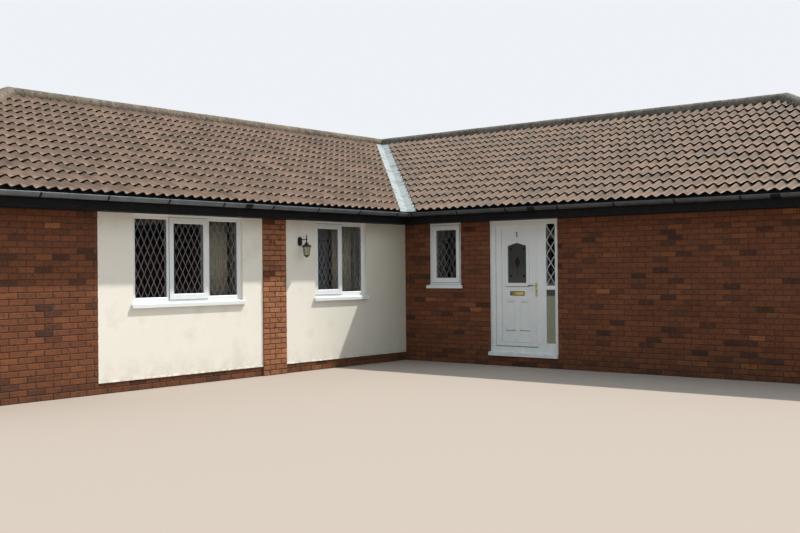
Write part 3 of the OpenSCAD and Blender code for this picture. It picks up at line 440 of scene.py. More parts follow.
# %% [markdown]
# The CAD walls carry the mortar outside and the plaster of the rooms inside. A mask by depth
# behind the outer faces tells the two apart, because both are faces of one solid: plaster starts
# where a point lies 70 mm inside the square round the house and 70 mm behind the yard's walls.

# %% Wall finish
SKIN, EDGE = 0.070, 0.001


def indoors(tree, place):
    """Mask that is 1 from 70 mm behind the outer faces of the house"""
    spread = add(tree, "VectorMath", {0: place}, operation="ABSOLUTE").outputs[0]
    furthest = reckon(tree, "MAXIMUM", part(tree, spread, "X"), part(tree, spread, "Y"))
    behind_right = reckon(tree, "SUBTRACT", part(tree, place, "Y"), CORNER.y)
    behind_left = reckon(tree, "SUBTRACT", CORNER.x, part(tree, place, "X"))
    behind = reckon(tree, "MAXIMUM", behind_right, behind_left)
    square = rise(tree, furthest, HALF - SKIN - EDGE, HALF - SKIN + EDGE, 1.0, 0.0)
    return reckon(tree, "MULTIPLY", square, rise(tree, behind, SKIN - EDGE, SKIN + EDGE))


def mortar_colour(tree):
    mortar = blotches(tree, (80, 64, 53), (62, 50, 42), 30.0)
    return over(tree, splash(tree, 0.0, 0.4, 7.0), (44, 39, 32), mortar, 0.7)


def render_colour(tree, place):
    """Cream render with painted shade towards the inner corner, over a bare brick plinth"""
    face = blotches(tree, (234, 230, 221), (228, 224, 212), 1.3, 0.5, 0.3)
    # Painted shade: the render darkens towards the inner corner, where the deep corner keeps the sky off it.
    corner_shade = rise(tree, part(tree, place, "Y"), -1.6, CORNER.y)
    face = over(tree, corner_shade, (186, 183, 166), face, 0.8)
    grey = blotches(tree, (212, 208, 196), face, 2.6, 0.32, 0.14)
    face = over(tree, splash(tree, 0.13, 0.36, 5.0), (196, 190, 174), grey, 0.5)
    face = over(tree, splash(tree, 0.13, 0.05, 14.0), (112, 102, 82), face, 0.7)
    bare = rise(tree, part(tree, place, "Z"), PLINTH_TOP - EDGE / 2, PLINTH_TOP + EDGE / 2, 1.0, 0.0)
    return over(tree, bare, mortar_colour(tree), face)


def wall_finish(name, rendered):
    """A wall with mortar or render outside and plaster inside"""
    material, tree = new_finish(name)
    place = place_of(tree)
    plaster = blotches(tree, (166, 158, 144), (152, 144, 130), 2.0)
    face = render_colour(tree, place) if rendered else mortar_colour(tree)
    rough, size, deep = (0.9, 240.0, 0.0015) if rendered else (0.95, 220.0, 0.002)
    body = over(tree, indoors(tree, place), plaster, face)
    return surface(material, body, rough, 0.2, grain(tree, size, 0.35), deep, 0.7)


def dress(material, node_names):
    """CAD nodes that stay get a finish in their own slots"""
    for node_name in node_names.split():
        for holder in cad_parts[node_name].material_slots:
            holder.material = material


dress(wall_finish("mortar joints", False),
      "front_wall_left front_wall_over_door front_wall_right doorway_base brick_end_panel brick_pier"
      " right_end_wall back_wall left_side_wall left_end_wall")
dress(wall_finish("cream render", True), "render_panel_left render_panel_right")
print("walls dressed")

# %% [markdown]
# ## The bricks
# A stretcher is 215 by 65 mm with a 10 mm joint, so courses rise 75 mm and the joints of one
# course fall on the middles of the next. A brick is modelled as a closed block with softened
# front arrises. It is let into the wall, so only 4 mm of it stand in front of the mortar. At a
# corner of the house the end of one wall's stretcher shows as the other wall's header.

# %% One brick
BRICK_L, BRICK_H, JOINT, COURSE, MODULE, PROUD = 0.215, 0.065, 0.010, 0.075, 0.225, 0.004
HEADER, PATTERN_D, ARRIS = 0.1025, 0.030, 0.004


def brick_pattern():
    bm = bmesh.new()
    bmesh.ops.create_cube(bm, size=1)
    real = Vector((BRICK_L, PATTERN_D, BRICK_H))
    bmesh.ops.scale(bm, verts=bm.verts, vec=real)
    front = [e for e in bm.edges if all(v.co.y < 0 for v in e.verts)]
    bmesh.ops.bevel(bm, geom=front, offset=ARRIS, segments=1, affect="EDGES", profile=0.5, material=-1)
    bmesh.ops.scale(bm, verts=bm.verts, vec=[1 / side for side in real])
    return pattern_from(bm)


BRICK_PATTERN = brick_pattern()
print("a brick has", len(BRICK_PATTERN.polygons), "faces")

# %% [markdown]
# A course is cut at the openings. A brick in the field is 28 mm deep, one at a jamb reaches back
# to the frame, and one at a corner of the house shows its header round the corner.

# %% Setting out a wall
FIELD_D, SHORTEST, THINNEST, SLIVER, WOBBLE = 0.028, 0.05, 0.03, 0.012, 0.0004
GROWTH = {"joint": -JOINT / 2, "met": -JOINT, "flush": 0.0, "jamb": 0.0015, "corner": PROUD}


def course_bricks(s0, s1, z0, z1, anchor, module, ends, face=0.0):
    """Bricks of one course between two ends; an end is flush, jamb, corner or met"""
    steps = range(int((s0 - anchor) / module) - 2, int((s1 - anchor) / module) + 3)
    joints = [anchor + i * module for i in steps]
    edges = [s0] + [j for j in joints if s0 + SHORTEST < j < s1 - SHORTEST] + [s1]
    made = []
    for i, (a, b) in enumerate(zip(edges, edges[1:])):
        kinds = (ends[0] if i == 0 else "joint", ends[1] if i == len(edges) - 2 else "joint")
        depth = FIELD_D
        if "jamb" in kinds:
            depth = REVEAL + PROUD
        if "corner" in kinds:
            depth = HEADER
        front = face - PROUD - rng.normal(0, WOBBLE)
        made.append(between(a - GROWTH[kinds[0]], b + GROWTH[kinds[1]], front, front + depth,
                            z0 + JOINT / 2, z1 - JOINT / 2))
    return made


def brick_wall(x0, x1, openings, ends, anchor, module, z_top=SOFFIT, face=0.0):
    """Bricks of a wall in its own frame; openings are (x0, x1, foot)"""
    made = []
    for k in range(round(z_top / COURSE + 0.49)):
        z0, z1 = k * COURSE, min((k + 1) * COURSE, z_top)
        shift = module / 2 if k % 2 else 0.0
        lo, hi = x0, x1
        kinds = list(ends)
        if ends[0] == "corner" and k % 2:
            lo, kinds[0] = x0 + HEADER - PROUD, "met"
        if ends[1] == "corner" and not k % 2:
            hi, kinds[1] = x1 - HEADER + PROUD, "met"
        spans, at, kind = [], lo, kinds[0]
        for a, b, foot in sorted(openings):
            if z1 <= foot + SLIVER:
                continue
            spans.append((at, a, z0, z1, (kind, "jamb")))
            if foot - z0 > THINNEST:
                spans.append((a, b, z0, foot + JOINT / 2, ("joint", "joint")))
            at, kind = b, "jamb"
        spans.append((at, hi, z0, z1, (kind, kinds[1])))
        for a, b, low, high, pair in spans:
            made += course_bricks(a, b, low, high, anchor + shift, module, pair, face)
    return made


print("courses", round(SOFFIT / COURSE))

# %% [markdown]
# The openings repeat the windows and the door of the CAD source. On the walls with two corners the
# bond is stretched by a hair, so that a whole number of half bricks fits. Tones are drawn at random
# with a few dark burnt bricks, the way a mixed pack of stocks is laid.

# %% The brickwork
HALL = (0.496, 1.147, 1.198)
DOOR = (1.685, 2.930, 0.155)
LARGE_W, SMALL_W, SILL = 1.840, 1.160, 1.043
REAR_MARGIN, REAR_GAP = 1.6, 0.9
LONG_OPENINGS = [(x0, x0 + width, SILL) for x0, width in (
    (REAR_MARGIN, LARGE_W), (HALF - REAR_GAP - SMALL_W, SMALL_W), (HALF + REAR_GAP, SMALL_W),
    (LONG - REAR_MARGIN - LARGE_W, LARGE_W))]
END_OPENINGS = [((WING_W - LARGE_W) / 2, (WING_W + LARGE_W) / 2, SILL)]
PIER = (-3.236, -2.781)
RENDER_END = -5.980
END_MODULE, LONG_MODULE = 2 * WING_W / 63, 2 * LONG / 139
BURNT_SHARE = 0.09


def tones(count):
    drawn = np.clip(rng.normal(0.52, 0.15, count), 0, 1)
    burnt = rng.random(count) < BURNT_SHARE
    drawn[burnt] = rng.uniform(0.0, 0.2, burnt.sum())
    return drawn


def brick_piece(name, wall, places, finish=BRICK):
    in_place = [WALLS[wall] @ m for m in places]
    piece = put_on_house(name, laid(name, BRICK_PATTERN, in_place, tones(len(in_place))), [finish])
    print(name, len(places), "bricks")


TWO_CORNERS = ("corner", "corner")
for name, wall, x0, x1, openings, ends, anchor, module in (
        ("door_wall", "yard_right", 0, WING_RUN, [HALL, DOOR], ("flush", "corner"), WING_RUN, MODULE),
        ("right_end", "end_right", 0, WING_W, END_OPENINGS, TWO_CORNERS, 0, END_MODULE),
        ("back", "back", 0, LONG, LONG_OPENINGS, TWO_CORNERS, 0, LONG_MODULE),
        ("left_side", "side_left", 0, LONG, LONG_OPENINGS, TWO_CORNERS, 0, LONG_MODULE),
        ("left_end", "end_left", 0, WING_W, END_OPENINGS, TWO_CORNERS, 0, END_MODULE),
        ("end_panel", "yard_left", -WING_RUN, RENDER_END, [], ("corner", "flush"), -WING_RUN, MODULE)):
    brick_piece(f"bricks_{name}", wall, brick_wall(x0, x1, openings, ends, anchor, module))

# %% [markdown]
# The pier is two bricks wide and stands 15 mm in front of the render, so its bricks show their
# ends at its sides. The plinth under the render is two courses, set 10 mm back.

# %% Pier and plinth
PIER_PROUD, PIER_BACK, PLINTH_BACK = 0.015, 0.026, 0.010


def pier_bricks():
    made = []
    for k in range(round(SOFFIT / COURSE)):
        z0, z1 = k * COURSE + JOINT / 2, (k + 1) * COURSE - JOINT / 2
        left, right_edge = PIER[0] - rng.uniform(0, 0.004), PIER[1] + rng.uniform(0, 0.004)
        inner = [0.0] if k % 2 else [-MODULE / 2, MODULE / 2]
        middle = sum(PIER) / 2
        edges = [left - JOINT / 2] + [middle + i for i in inner] + [right_edge + JOINT / 2]
        for a, b in zip(edges, edges[1:]):
            made.append(between(a + JOINT / 2, b - JOINT / 2, -PIER_PROUD - PROUD, PIER_BACK, z0, z1))
    return made


brick_piece("bricks_pier", "yard_left", pier_bricks(), PIER_BRICK)
plinth = []
for x0, x1 in ((RENDER_END, PIER[0]), (PIER[1], 0)):
    plinth += brick_wall(x0, x1, [], ("flush", "flush"), 0, MODULE, PLINTH_TOP, PLINTH_BACK)
brick_piece("bricks_plinth", "yard_left", plinth)

# %% [markdown]
# ## Roof tiles
# The roof has concrete tiles with two rolls each, 306 mm wide, laid to a gauge of 308 mm. The
# rolls rise slowly on their left and fall steeply on their right. The tiles' thick front edges,
# painted near-black for their dirt and as painted shade, give the slopes their wavy lines. A map
# of its own tells the finish how far up and across its tile a point lies.

# %% One tile
WAVE, GAUGE, TILE_T, ROLL_H = 0.1531, 0.3084, 0.017, 0.036
TILE_W, TILE_L, SIDE_GAP, ROLL_DROP, PAN_DROP = 2 * WAVE, 0.391, 0.0015, 0.026, 0.050
TILE_STRIPS = 18


def tile_pattern():
    bm = bmesh.new()
    bmesh.ops.create_grid(bm, x_segments=TILE_STRIPS, y_segments=1, size=0.5)
    bmesh.ops.scale(bm, verts=bm.verts, vec=(TILE_W - SIDE_GAP, TILE_L, 1))
    bmesh.ops.translate(bm, verts=bm.verts, vec=(0, TILE_L / 2, 0))
    for v in bm.verts:
        turn = 2 * math.pi * (v.co.x + WAVE / 2) / WAVE + math.radians(21.5)
        roll_shape = 0.5 + (math.cos(turn) + 0.25 * math.sin(2 * turn)) / 2.2
        drop = PAN_DROP + (ROLL_DROP - PAN_DROP) * roll_shape
        v.co.z = ROLL_H * (roll_shape - 1) - drop * v.co.y / TILE_L
    face_out(bm)
    if bm.faces[0].normal.z < 0:
        bmesh.ops.reverse_faces(bm, faces=bm.faces)
    below = bmesh.ops.extrude_face_region(bm, geom=bm.faces[:])
    bmesh.ops.translate(bm, verts=new_points(below), vec=(0, 0, -TILE_T))
    face_out(bm)
    own_map = bm.loops.layers.uv.new("tile")
    for face in bm.faces:
        # Front edges and undersides take the second finish: near-black for their dirt and as painted shade.
        face.material_index = 1 if face.normal.y < -0.5 or face.normal.z < -0.2 else 0
        for loop in face.loops:
            loop[own_map].uv = (loop.vert.co.x / TILE_W + 0.5, loop.vert.co.y / TILE_L)
    return pattern_from(bm)


TILE_PATTERN = tile_pattern()
print("a tile has", len(TILE_PATTERN.polygons), "faces")


# %% Tile finish
def tile_finish(name, fresh, worn, stain, foot, lichen_share):
    """Weathered tiles with painted shade on the left flank of each roll, paler at the foot of a pan"""
    material, tree = new_finish(name)
    on_tile = add(tree, "UVMap", uv_map="tile").outputs[0]
    across = reckon(tree, "MULTIPLY", part(tree, on_tile, "X"), 4 * math.pi)
    shaded_flank = rise(tree, reckon(tree, "SINE", across), -1.0, 1.0, 1.0, 0.0)
    in_pan = rise(tree, reckon(tree, "COSINE", across), 0.2, 0.9)
    near_foot = rise(tree, part(tree, on_tile, "Y"), 0.05, 0.45, 1.0, 0.0)
    # The foot of each pan is made paler.
    pan_foot = reckon(tree, "MULTIPLY", in_pan, near_foot)
    body = over(tree, tone_of(tree), fresh, worn)
    # Painted shade: the stain colour laid over the left flank of each roll, which the sun from the right
    # leaves darker.
    body = over(tree, shaded_flank, stain, body, 0.55)
    clouded = blotches(tree, stain, body, 3.4, 0.40, 0.16)
    pale_foot = over(tree, pan_foot, foot, clouded, 0.75)
    speckled = blotches(tree, (84, 76, 68), pale_foot, 52.0, 0.36, 0.08)
    lichen = blotches(tree, (196, 184, 146), speckled, 30.0, lichen_share, 0.03)
    return surface(material, lichen, 0.86, 0.25, grain(tree, 240.0, 0.3), 0.003, 0.7)


# One tile in two copies: the right slope's colours are painted lighter, as a painted sheen of the sun behind
# it, and the left slope's painted darker, as painted shade.
TILES_RIGHT_SHEEN = tile_finish("roof tiles right painted sheen", (154, 126, 108), (132, 114, 101), (84, 75, 66),
                          (180, 160, 145), 0.24)
TILES_LEFT_SHADE = tile_finish("roof tiles left painted shade", (126, 102, 87), (106, 88, 75), (68, 59, 50),
                         (146, 126, 110), 0.22)
FELT = layered("roofing felt", (34, 33, 33), (24, 24, 24), 8.0, size=300.0, deep=0.001)
# Near-black tile fronts: their dirt and painted shade together.
TILE_FRONT_DIRT_SHADE = layered("tile fronts dirt and painted shade", (34, 30, 27), (20, 18, 17), 20.0, size=240.0, deep=0.002)
BED_MORTAR = layered("bedding mortar", (118, 108, 96), (88, 80, 70), 14.0, size=180.0, deep=0.004)
print([m.name for m in (TILES_LEFT_SHADE, TILES_RIGHT_SHEEN, FELT, TILE_FRONT_DIRT_SHADE, BED_MORTAR)])

# %% [markdown]
# A slope is laid in its own frame: X along the eave, Y up the slope, Z off the tiles' crests. The
# joined tiles are then cut on the hips, at the ridge and beside the open valley by bisecting the
# mesh, and every cut is closed, so each cut tile stays a solid.

# %% Laying a slope
FIRST_RISE, LAST_COURSE, PHASE = 0.0124, 13, 5.43975
FRONTS = [0.0] + [FIRST_RISE + GAUGE * k for k in range(1, LAST_COURSE)]
SLOPE_WAY = Matrix.Translation((0, -TILE_OVER, EAVE)) @ Matrix.Rotation(PITCH, 4, "X")
SPARE, OVERHANG, VALLEY_GAP, RIDGE_GAP = 0.60, 0.3, 0.130, 0.004
FELT_SPARE, FELT_FOOT, FELT_Z = 0.5, 0.07, (-0.120, -0.108)


def slope_places(x0, x1):
    made = []
    for y in FRONTS:
        first = math.floor((x0 - PHASE) / TILE_W) - 1
        for i in range(first, math.ceil((x1 - PHASE) / TILE_W) + 2):
            x = PHASE + (i + 0.5) * TILE_W
            made.append(Matrix.Translation((x, y, 0)) @ Matrix.Rotation(rng.normal(0, 0.002), 4, "Z")
                        @ Matrix.Translation((0, rng.normal(0, 0.002), rng.normal(0, 0.0006))))
    return made


def reaching(places, x0, x1, turn0, turn1):
    """Leaves out tiles that lie wholly beyond the ends of a slope"""
    kept = []
    for m in places:
        x, h = m.translation.x, m.translation.y * math.cos(PITCH) - TILE_OVER
        if x0 + turn0 * h - SPARE < x < x1 - turn1 * h + SPARE:
            kept.append(m)
    return kept


def slope_cuts(x0, x1, turn0, turn1):
    """Planes in the wall's frame: two ends and the ridge; a turn of -1 is at the valley"""
    gap0, gap1 = (VALLEY_GAP * math.sqrt(2) if turn < 0 else 0.0 for turn in (turn0, turn1))
    return [((x0 + gap0, 0, 0), (-1, turn0, 0)), ((x1 - gap1, 0, 0), (1, turn1, 0)),
            ((0, SPAN - RIDGE_GAP, 0), (0, 1, 0))]


def felt_under(x0, x1):
    """A thin board below the tiles, as long as the slope"""
    bm = bmesh.new()
    board = between(x0 - FELT_SPARE, x1 + FELT_SPARE, FELT_FOOT, FELT_FOOT + SLOPE_LEN + FELT_SPARE, *FELT_Z)
    bmesh.ops.create_cube(bm, size=1, matrix=SLOPE_WAY @ board)
    return pattern_from(bm)


def lay_slope(name, wall, x0, x1, turn0, turn1, finish):
    low, high = (SPAN + OVERHANG if turn < 0 else OVERHANG for turn in (turn0, turn1))
    places = reaching(slope_places(x0 - low, x1 + high), x0, x1, turn0, turn1)
    bm = bmesh.new()
    bm.from_mesh(laid(name, TILE_PATTERN, [SLOPE_WAY @ m for m in places], rng.random(len(places))))
    join(bm, felt_under(x0 - low, x1 + high), 2)
    for point, outward in slope_cuts(x0, x1, turn0, turn1):
        # Every cut is closed with the near-black front finish, which paints shade along the cut ends of the
        # tiles.
        trim(bm, point, outward, 1)
    bmesh.ops.transform(bm, matrix=WALLS[wall], verts=bm.verts)
    piece = put_on_house(name, pattern_from(bm, name), [finish, TILE_FRONT_DIRT_SHADE, FELT])
    print(name, len(places), "tiles", len(piece.data.polygons), "faces")
    return piece


# %% The six slopes
for name, wall, x0, x1, turn0, turn1, finish in (
        ("roof_right_front", "yard_right", 0, WING_RUN, -1, 1, TILES_RIGHT_SHEEN),
        ("roof_left_inner", "yard_left", -WING_RUN, 0, 1, -1, TILES_LEFT_SHADE),
        ("roof_right_end", "end_right", 0, WING_W, 1, 1, TILES_RIGHT_SHEEN),
        ("roof_right_back", "back", 0, LONG, 1, 1, TILES_RIGHT_SHEEN),
        ("roof_left_outer", "side_left", 0, LONG, 1, 1, TILES_LEFT_SHADE),
        ("roof_left_end", "end_left", 0, WING_W, 1, 1, TILES_LEFT_SHADE)):
    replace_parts(lay_slope(f"tiles_{name[5:]}", wall, x0, x1, turn0, turn1, finish), name)

# %% [markdown]
# ## Ridge and hip tiles
# Half-round tiles, 450 mm long, are bedded in mortar over the line where two slopes meet. Each is
# an edge spun into a trough and given its thickness, and a core of mortar shows in the joints and
# along the foot. The runs are mitred at the apexes with the same upright planes as the CAD solids.

# %% Cap tiles
CAP_R, CAP_DROP, CAP_L, CAP_T, CAP_JOINT = 0.110, 0.070, 0.450, 0.014, 0.007
CAP_REACH, CAP_STEPS, HALF_MITRE = 102, 14, 22.5
CORE_IN, CORE_T, CORE_REACH, CAP_WOBBLE = 0.006, 0.05, 108, 0.0015
APEX_CORNER, APEX_RIGHT, APEX_LEFT = (Vector((x, y, RIDGE - CAP_DROP)) for x, y in (
    (CORNER.x - SPAN, CORNER.y + SPAN), (HALF - SPAN, CORNER.y + SPAN), (CORNER.x - SPAN, -HALF + SPAN)))
HIP_TILT = math.atan(math.tan(PITCH) / math.sqrt(2))
HIP_LEN = (SPAN + TILE_OVER) * math.sqrt(2) / math.cos(HIP_TILT) - CAP_R


def bent_cap(length, radius, thick, reach):
    """A trough upside down, along X from 0, reaching so many degrees to each side"""
    bm = bmesh.new()
    start = Matrix.Rotation(math.radians(-reach), 4, "X") @ Matrix.Translation((0, 0, radius))
    ends = [bmesh.ops.create_vert(bm, co=start @ Vector((x, 0, 0)))["vert"][0] for x in (0, length)]
    edge = bm.edges.new(ends)
    bmesh.ops.spin(bm, geom=ends + [edge], cent=(0, 0, 0), axis=(1, 0, 0), dvec=(0, 0, 0),
                   angle=math.radians(2 * reach), steps=CAP_STEPS, use_merge=False, use_duplicate=False)
    face_out(bm)
    top = max(bm.faces, key=lambda f: f.calc_center_median().z)
    if top.normal.z < 0:
        bmesh.ops.reverse_faces(bm, faces=bm.faces)
    bmesh.ops.solidify(bm, geom=bm.faces[:], thickness=thick)
    face_out(bm)
    return pattern_from(bm)


CAP_PATTERN = bent_cap(CAP_L - CAP_JOINT, CAP_R, CAP_T, CAP_REACH)
print("a cap has", len(CAP_PATTERN.polygons), "faces")


# %% Ridge finish
def ridge_finish(name, fresh, worn, pale, stain, lichen, share):
    material, tree = new_finish(name)
    body = over(tree, tone_of(tree), fresh, worn)
    clouded = blotches(tree, pale, body, 9.0, 0.42, 0.10)
    dark = blotches(tree, stain, clouded, 22.0, 0.40, 0.08)
    spotted = blotches(tree, lichen, dark, 13.0, share, 0.03)
    return surface(material, spotted, 0.9, 0.15, grain(tree, 200.0, 0.4), 0.004, 0.8)


RIDGE_RIGHT = ridge_finish("ridge tiles right", (112, 108, 100), (94, 91, 84), (130, 127, 119),
                           (62, 60, 54), (146, 140, 108), 0.24)
RIDGE_LEFT = ridge_finish("ridge tiles left", (110, 100, 88), (90, 82, 72), (130, 120, 106),
                          (66, 59, 50), (160, 118, 72), 0.27)
print(RIDGE_RIGHT.name, RIDGE_LEFT.name)


# %% Laying a run of caps
def cap_run(name, apex, turn, tilt_down, length, cuts, finish, replaced):
    """Caps along a hip or, where nothing tilts, a ridge; cuts are upright planes by their angles"""
    way = (Matrix.Translation(apex) @ Matrix.Rotation(math.radians(turn), 4, "Z")
           @ Matrix.Rotation(tilt_down, 4, "Y"))
    count = math.ceil((length + CAP_R) / CAP_L) + 1
    if tilt_down:
        starts = [length - (i + 1) * CAP_L for i in range(count)]
    else:
        starts = [-CAP_R + i * CAP_L for i in range(count)]
    places = [way @ Matrix.Translation((s, rng.normal(0, CAP_WOBBLE), -abs(rng.normal(0, CAP_WOBBLE))))
              for s in starts]
    bm = bmesh.new()
    bm.from_mesh(laid(name, CAP_PATTERN, places, rng.random(count)))
    core = bent_cap(length + 2 * CAP_R, CAP_R - CORE_IN, CORE_T, CORE_REACH)
    core.transform(way @ Matrix.Translation((-2 * CAP_R if tilt_down else -CAP_R, 0, 0)))
    join(bm, core, 1)
    for angle in cuts:
        trim(bm, apex, Vector((math.cos(math.radians(angle)), math.sin(math.radians(angle)), 0)))
    if not tilt_down:
        along_way = way.to_3x3() @ Vector((1, 0, 0))
        for side in (-1, 1):
            outward = Matrix.Rotation(math.radians(side * HALF_MITRE), 3, "Z") @ along_way
            trim(bm, apex + along_way * (length - CAP_R), outward)
    piece = put_on_house(name, pattern_from(bm, name), [finish, BED_MORTAR])
    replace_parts(piece, replaced)
    print(name, count, "caps")


ridge_length = (APEX_RIGHT - APEX_CORNER).length + CAP_R
cap_run("caps_ridge_right", APEX_CORNER, 0, 0, ridge_length, (225, 157.5), RIDGE_RIGHT, "ridge_tiles_right")
cap_run("caps_ridge_left", APEX_CORNER, -90, 0, ridge_length, (45, 112.5), RIDGE_LEFT, "ridge_tiles_left")
for name, apex, turn, cuts, replaced, finish in (
        ("caps_hip_yard_right", APEX_RIGHT, -45, (90, 157.5), "yard_hip_tiles", RIDGE_RIGHT),
        ("caps_hip_yard_left", APEX_LEFT, -45, (180, 112.5), "yard_hip_tiles", RIDGE_LEFT),
        ("caps_hip_rear_right", APEX_RIGHT, 45, (270, 202.5), "rear_hip_tiles", RIDGE_RIGHT),
        ("caps_hip_rear_corner", APEX_CORNER, 135, (292.5, 337.5), "rear_hip_tiles", RIDGE_RIGHT),
        ("caps_hip_rear_left", APEX_LEFT, 225, (0, 67.5), "rear_hip_tiles", RIDGE_LEFT)):
    cap_run(name, apex, turn, HIP_TILT, HIP_LEN, cuts, finish, replaced)

# %% [markdown]
# ## Floor of the studio
# The house stands on a plain pale floor that keeps its shadow. It isn't part of the house.

# %% Studio floor
FLOOR_R = 160
bm = bmesh.new()
bmesh.ops.create_circle(bm, cap_ends=True, radius=FLOOR_R, segments=64)
floor = bpy.data.objects.new("studio_floor", pattern_from(bm, "studio floor"))
bpy.context.scene.collection.objects.link(floor)
pale, tree = new_finish("studio floor")
floor.data.materials.append(surface(pale, (0.33, 0.285, 0.245, 1), 0.95, 0.05))
print("floor laid")

# %% [markdown]
# ## Joinery, gutters and fittings
# The frames, sills, fascias, gutters and fittings are right as the CAD gives them, so they keep
# their solids and get real finishes: weathered white plastic, black plastic with dust on it,
# brass, painted iron.


# %% Plastic and metal finishes
def white_plastic():
    """White plastic, greyer and bluer in patches towards its foot"""
    material, tree = new_finish("white plastic")
    body = blotches(tree, (227, 232, 233), (219, 224, 225), 5.0, 0.5, 0.3)
    greyer_foot = over(tree, splash(tree, 0.15, 0.9, 9.0), (176, 182, 186), body, 0.4)
    return surface(material, greyer_foot, 0.4, 0.3, grain(tree, 60.0, 0.8), 0.0006, 0.4)


def black_plastic(name, light, dark, speck, gloss, rough):
    """Boards and gutters: sun-greyed patches on the plastic's own colour, and a few specks"""
    return layered(name, light, dark, 7.0, [(speck, 34.0, 0.26, 0.02)], 0.42, 0.16, rough, gloss,
                   90.0, 0.7, 0.0008, 0.4)


def brass(name, bright, dull, dark, x0, x1):
    """Brass that has dulled to brown on one side of an upright line between x0 and x1"""
    material, tree = new_finish(name)
    body = blotches(tree, bright, dull, 40.0, 0.5, 0.2)
    side = rise(tree, part(tree, place_of(tree), "X"), x0, x1, 1.0, 0.0)
    return surface(material, over(tree, side, dark, body), 0.35, 0.5, grain(tree, 300.0), 0.0004, 0.4,
                   {"Metallic": 0.35})


WHITE = white_plastic()
IRON = layered("black painted iron", (30, 30, 31), (16, 16, 17), 30.0, [((74, 50, 36), 60.0, 0.27, 0.04)],
               rough=0.42, gloss=0.5, size=220.0, deep=0.001, strength=0.6)
WHITE_METAL = layered("white painted metal", (234, 234, 230), (220, 220, 214), 20.0, rough=0.35, gloss=0.5,
                      deep=0.0004, strength=0.4)
# Two copies of one lead: the dull copy on most panes, and the bright copy painted lighter, as painted light,
# so that the sidelight's strips read in the shade of the door wall.
LEAD, LEAD_PAINTED_BRIGHT = (layered(name, light, dark, 40.0, rough=0.55, size=400.0, deep=0.0004, strength=0.5)
                     for name, light, dark in (("lead painted dull", (124, 124, 128), (100, 101, 105)),
                                               ("lead painted bright", (214, 214, 216), (190, 191, 193))))
BOARD = black_plastic("black boards", (26, 27, 28), (17, 17, 18), (150, 142, 120), 0.12, 0.6)
GUTTER = black_plastic("grey gutter", (78, 82, 86), (58, 61, 65), (110, 110, 106), 0.45, 0.38)
# The yard's left gutter is the same plastic painted paler and bluer: a painted reflection of the bright sky
# on its sunlit face.
GUTTER_PAINTED_SKY = black_plastic("gutter painted with sky reflection", (104, 112, 118), (82, 90, 96), (126, 128, 124), 0.5, 0.34)
UNION = black_plastic("black clips", (24, 24, 25), (14, 14, 15), (60, 60, 58), 0.2, 0.5)
FLAP = brass("bright brass", (226, 206, 128), (206, 184, 104), (104, 92, 40), 1.24, 1.38)
PLATE_BRASS = brass("brown brass", (92, 84, 48), (70, 64, 38), (58, 52, 32), 1.24, 1.38)
HANDLE = brass("pale brass", (206, 196, 152), (182, 170, 122), (74, 72, 56), 1.668, 1.686)
print("finishes", [m.name for m in (WHITE, IRON, LEAD, BOARD, GUTTER, UNION, FLAP, PLATE_BRASS, HANDLE)])


# %% Glass, lining, floor and ceiling finishes
def clear_glass(name, tint, rough=0.02, gloss=0.08):
    material, tree = new_finish(name)
    wavy = noise(tree, place_of(tree), 2.5, 1.0)
    return surface(material, tint, rough, gloss, wavy, 0.001, 0.3, {"Transmission Weight": 1.0, "IOR": 1.45})


def obscure_glass(name, above, below, z0, z1, rough=0.3):
    """Patterned glass that hides the room: one colour above the height z1, another below z0"""
    material, tree = new_finish(name)
    place = place_of(tree)
    low = rise(tree, part(tree, place, "Z"), z0, z1, 1.0, 0.0)
    body = over(tree, low, below, above)
    clouded = blotches(tree, over(tree, low, above, body, 0.3), body, 22.0, 0.5, 0.25)
    pebbles = add(tree, "TexVoronoi", {"Vector": place, "Scale": 160.0}).outputs["Distance"]
    return surface(material, clouded, rough, 0.25, pebbles, 0.001, 0.5)


FRONT_GLASS = clear_glass("window glass", (0.92, 0.94, 0.93, 1))
LANTERN_GLASS = clear_glass("lantern glass", (0.72, 0.72, 0.61, 1), 0.08, 0.3)
# The rear panes are opaque and near-black: painted shade of the dim rooms behind them.
REAR_GLASS_ROOM_SHADE = obscure_glass("rear glass painted with room shade", (26, 28, 30), (16, 17, 19), 1.1, 2.2, 0.08)
DOOR_GLASS = obscure_glass("door glass", (56, 60, 60), (76, 78, 72), 1.284, 1.56)
SIDE_GLASS = obscure_glass("pale obscure glass", (70, 72, 68), (146, 148, 126), 1.080, 1.094)
MOTIF = layered("dark red glass", (58, 32, 34), (38, 24, 27), 60.0)
# Painted shade: grey lines that draw the crevices of the door's mouldings.
CREVICE_SHADE = layered("painted shade in crevices", (150, 153, 154), (128, 132, 133), 30.0)
SEAL = layered("rubber seal", (84, 87, 88), (66, 69, 70), 30.0)
PALE_SEAL = layered("pale rubber seal", (206, 209, 210), (190, 193, 194), 30.0)
TIMBER = layered("valley boards", (150, 118, 80), (120, 92, 60), 7.0, size=90.0, deep=0.002)
LINING = layered("valley lining", (156, 163, 164), (136, 144, 145), 12.0,
                 [((116, 122, 120), 6.0, 0.42, 0.06), ((92, 94, 88), 34.0, 0.36, 0.05)], 0.5, 0.2,
                 rough=0.7, size=60.0, deep=0.003, strength=0.6)
CONCRETE = layered("floor screed", (150, 146, 138), (128, 124, 116), 1.5, size=120.0, deep=0.001)
CEILING = layered("ceiling plaster", (176, 173, 164), (164, 161, 152), 1.2, size=120.0)
print("glass and stone ready")

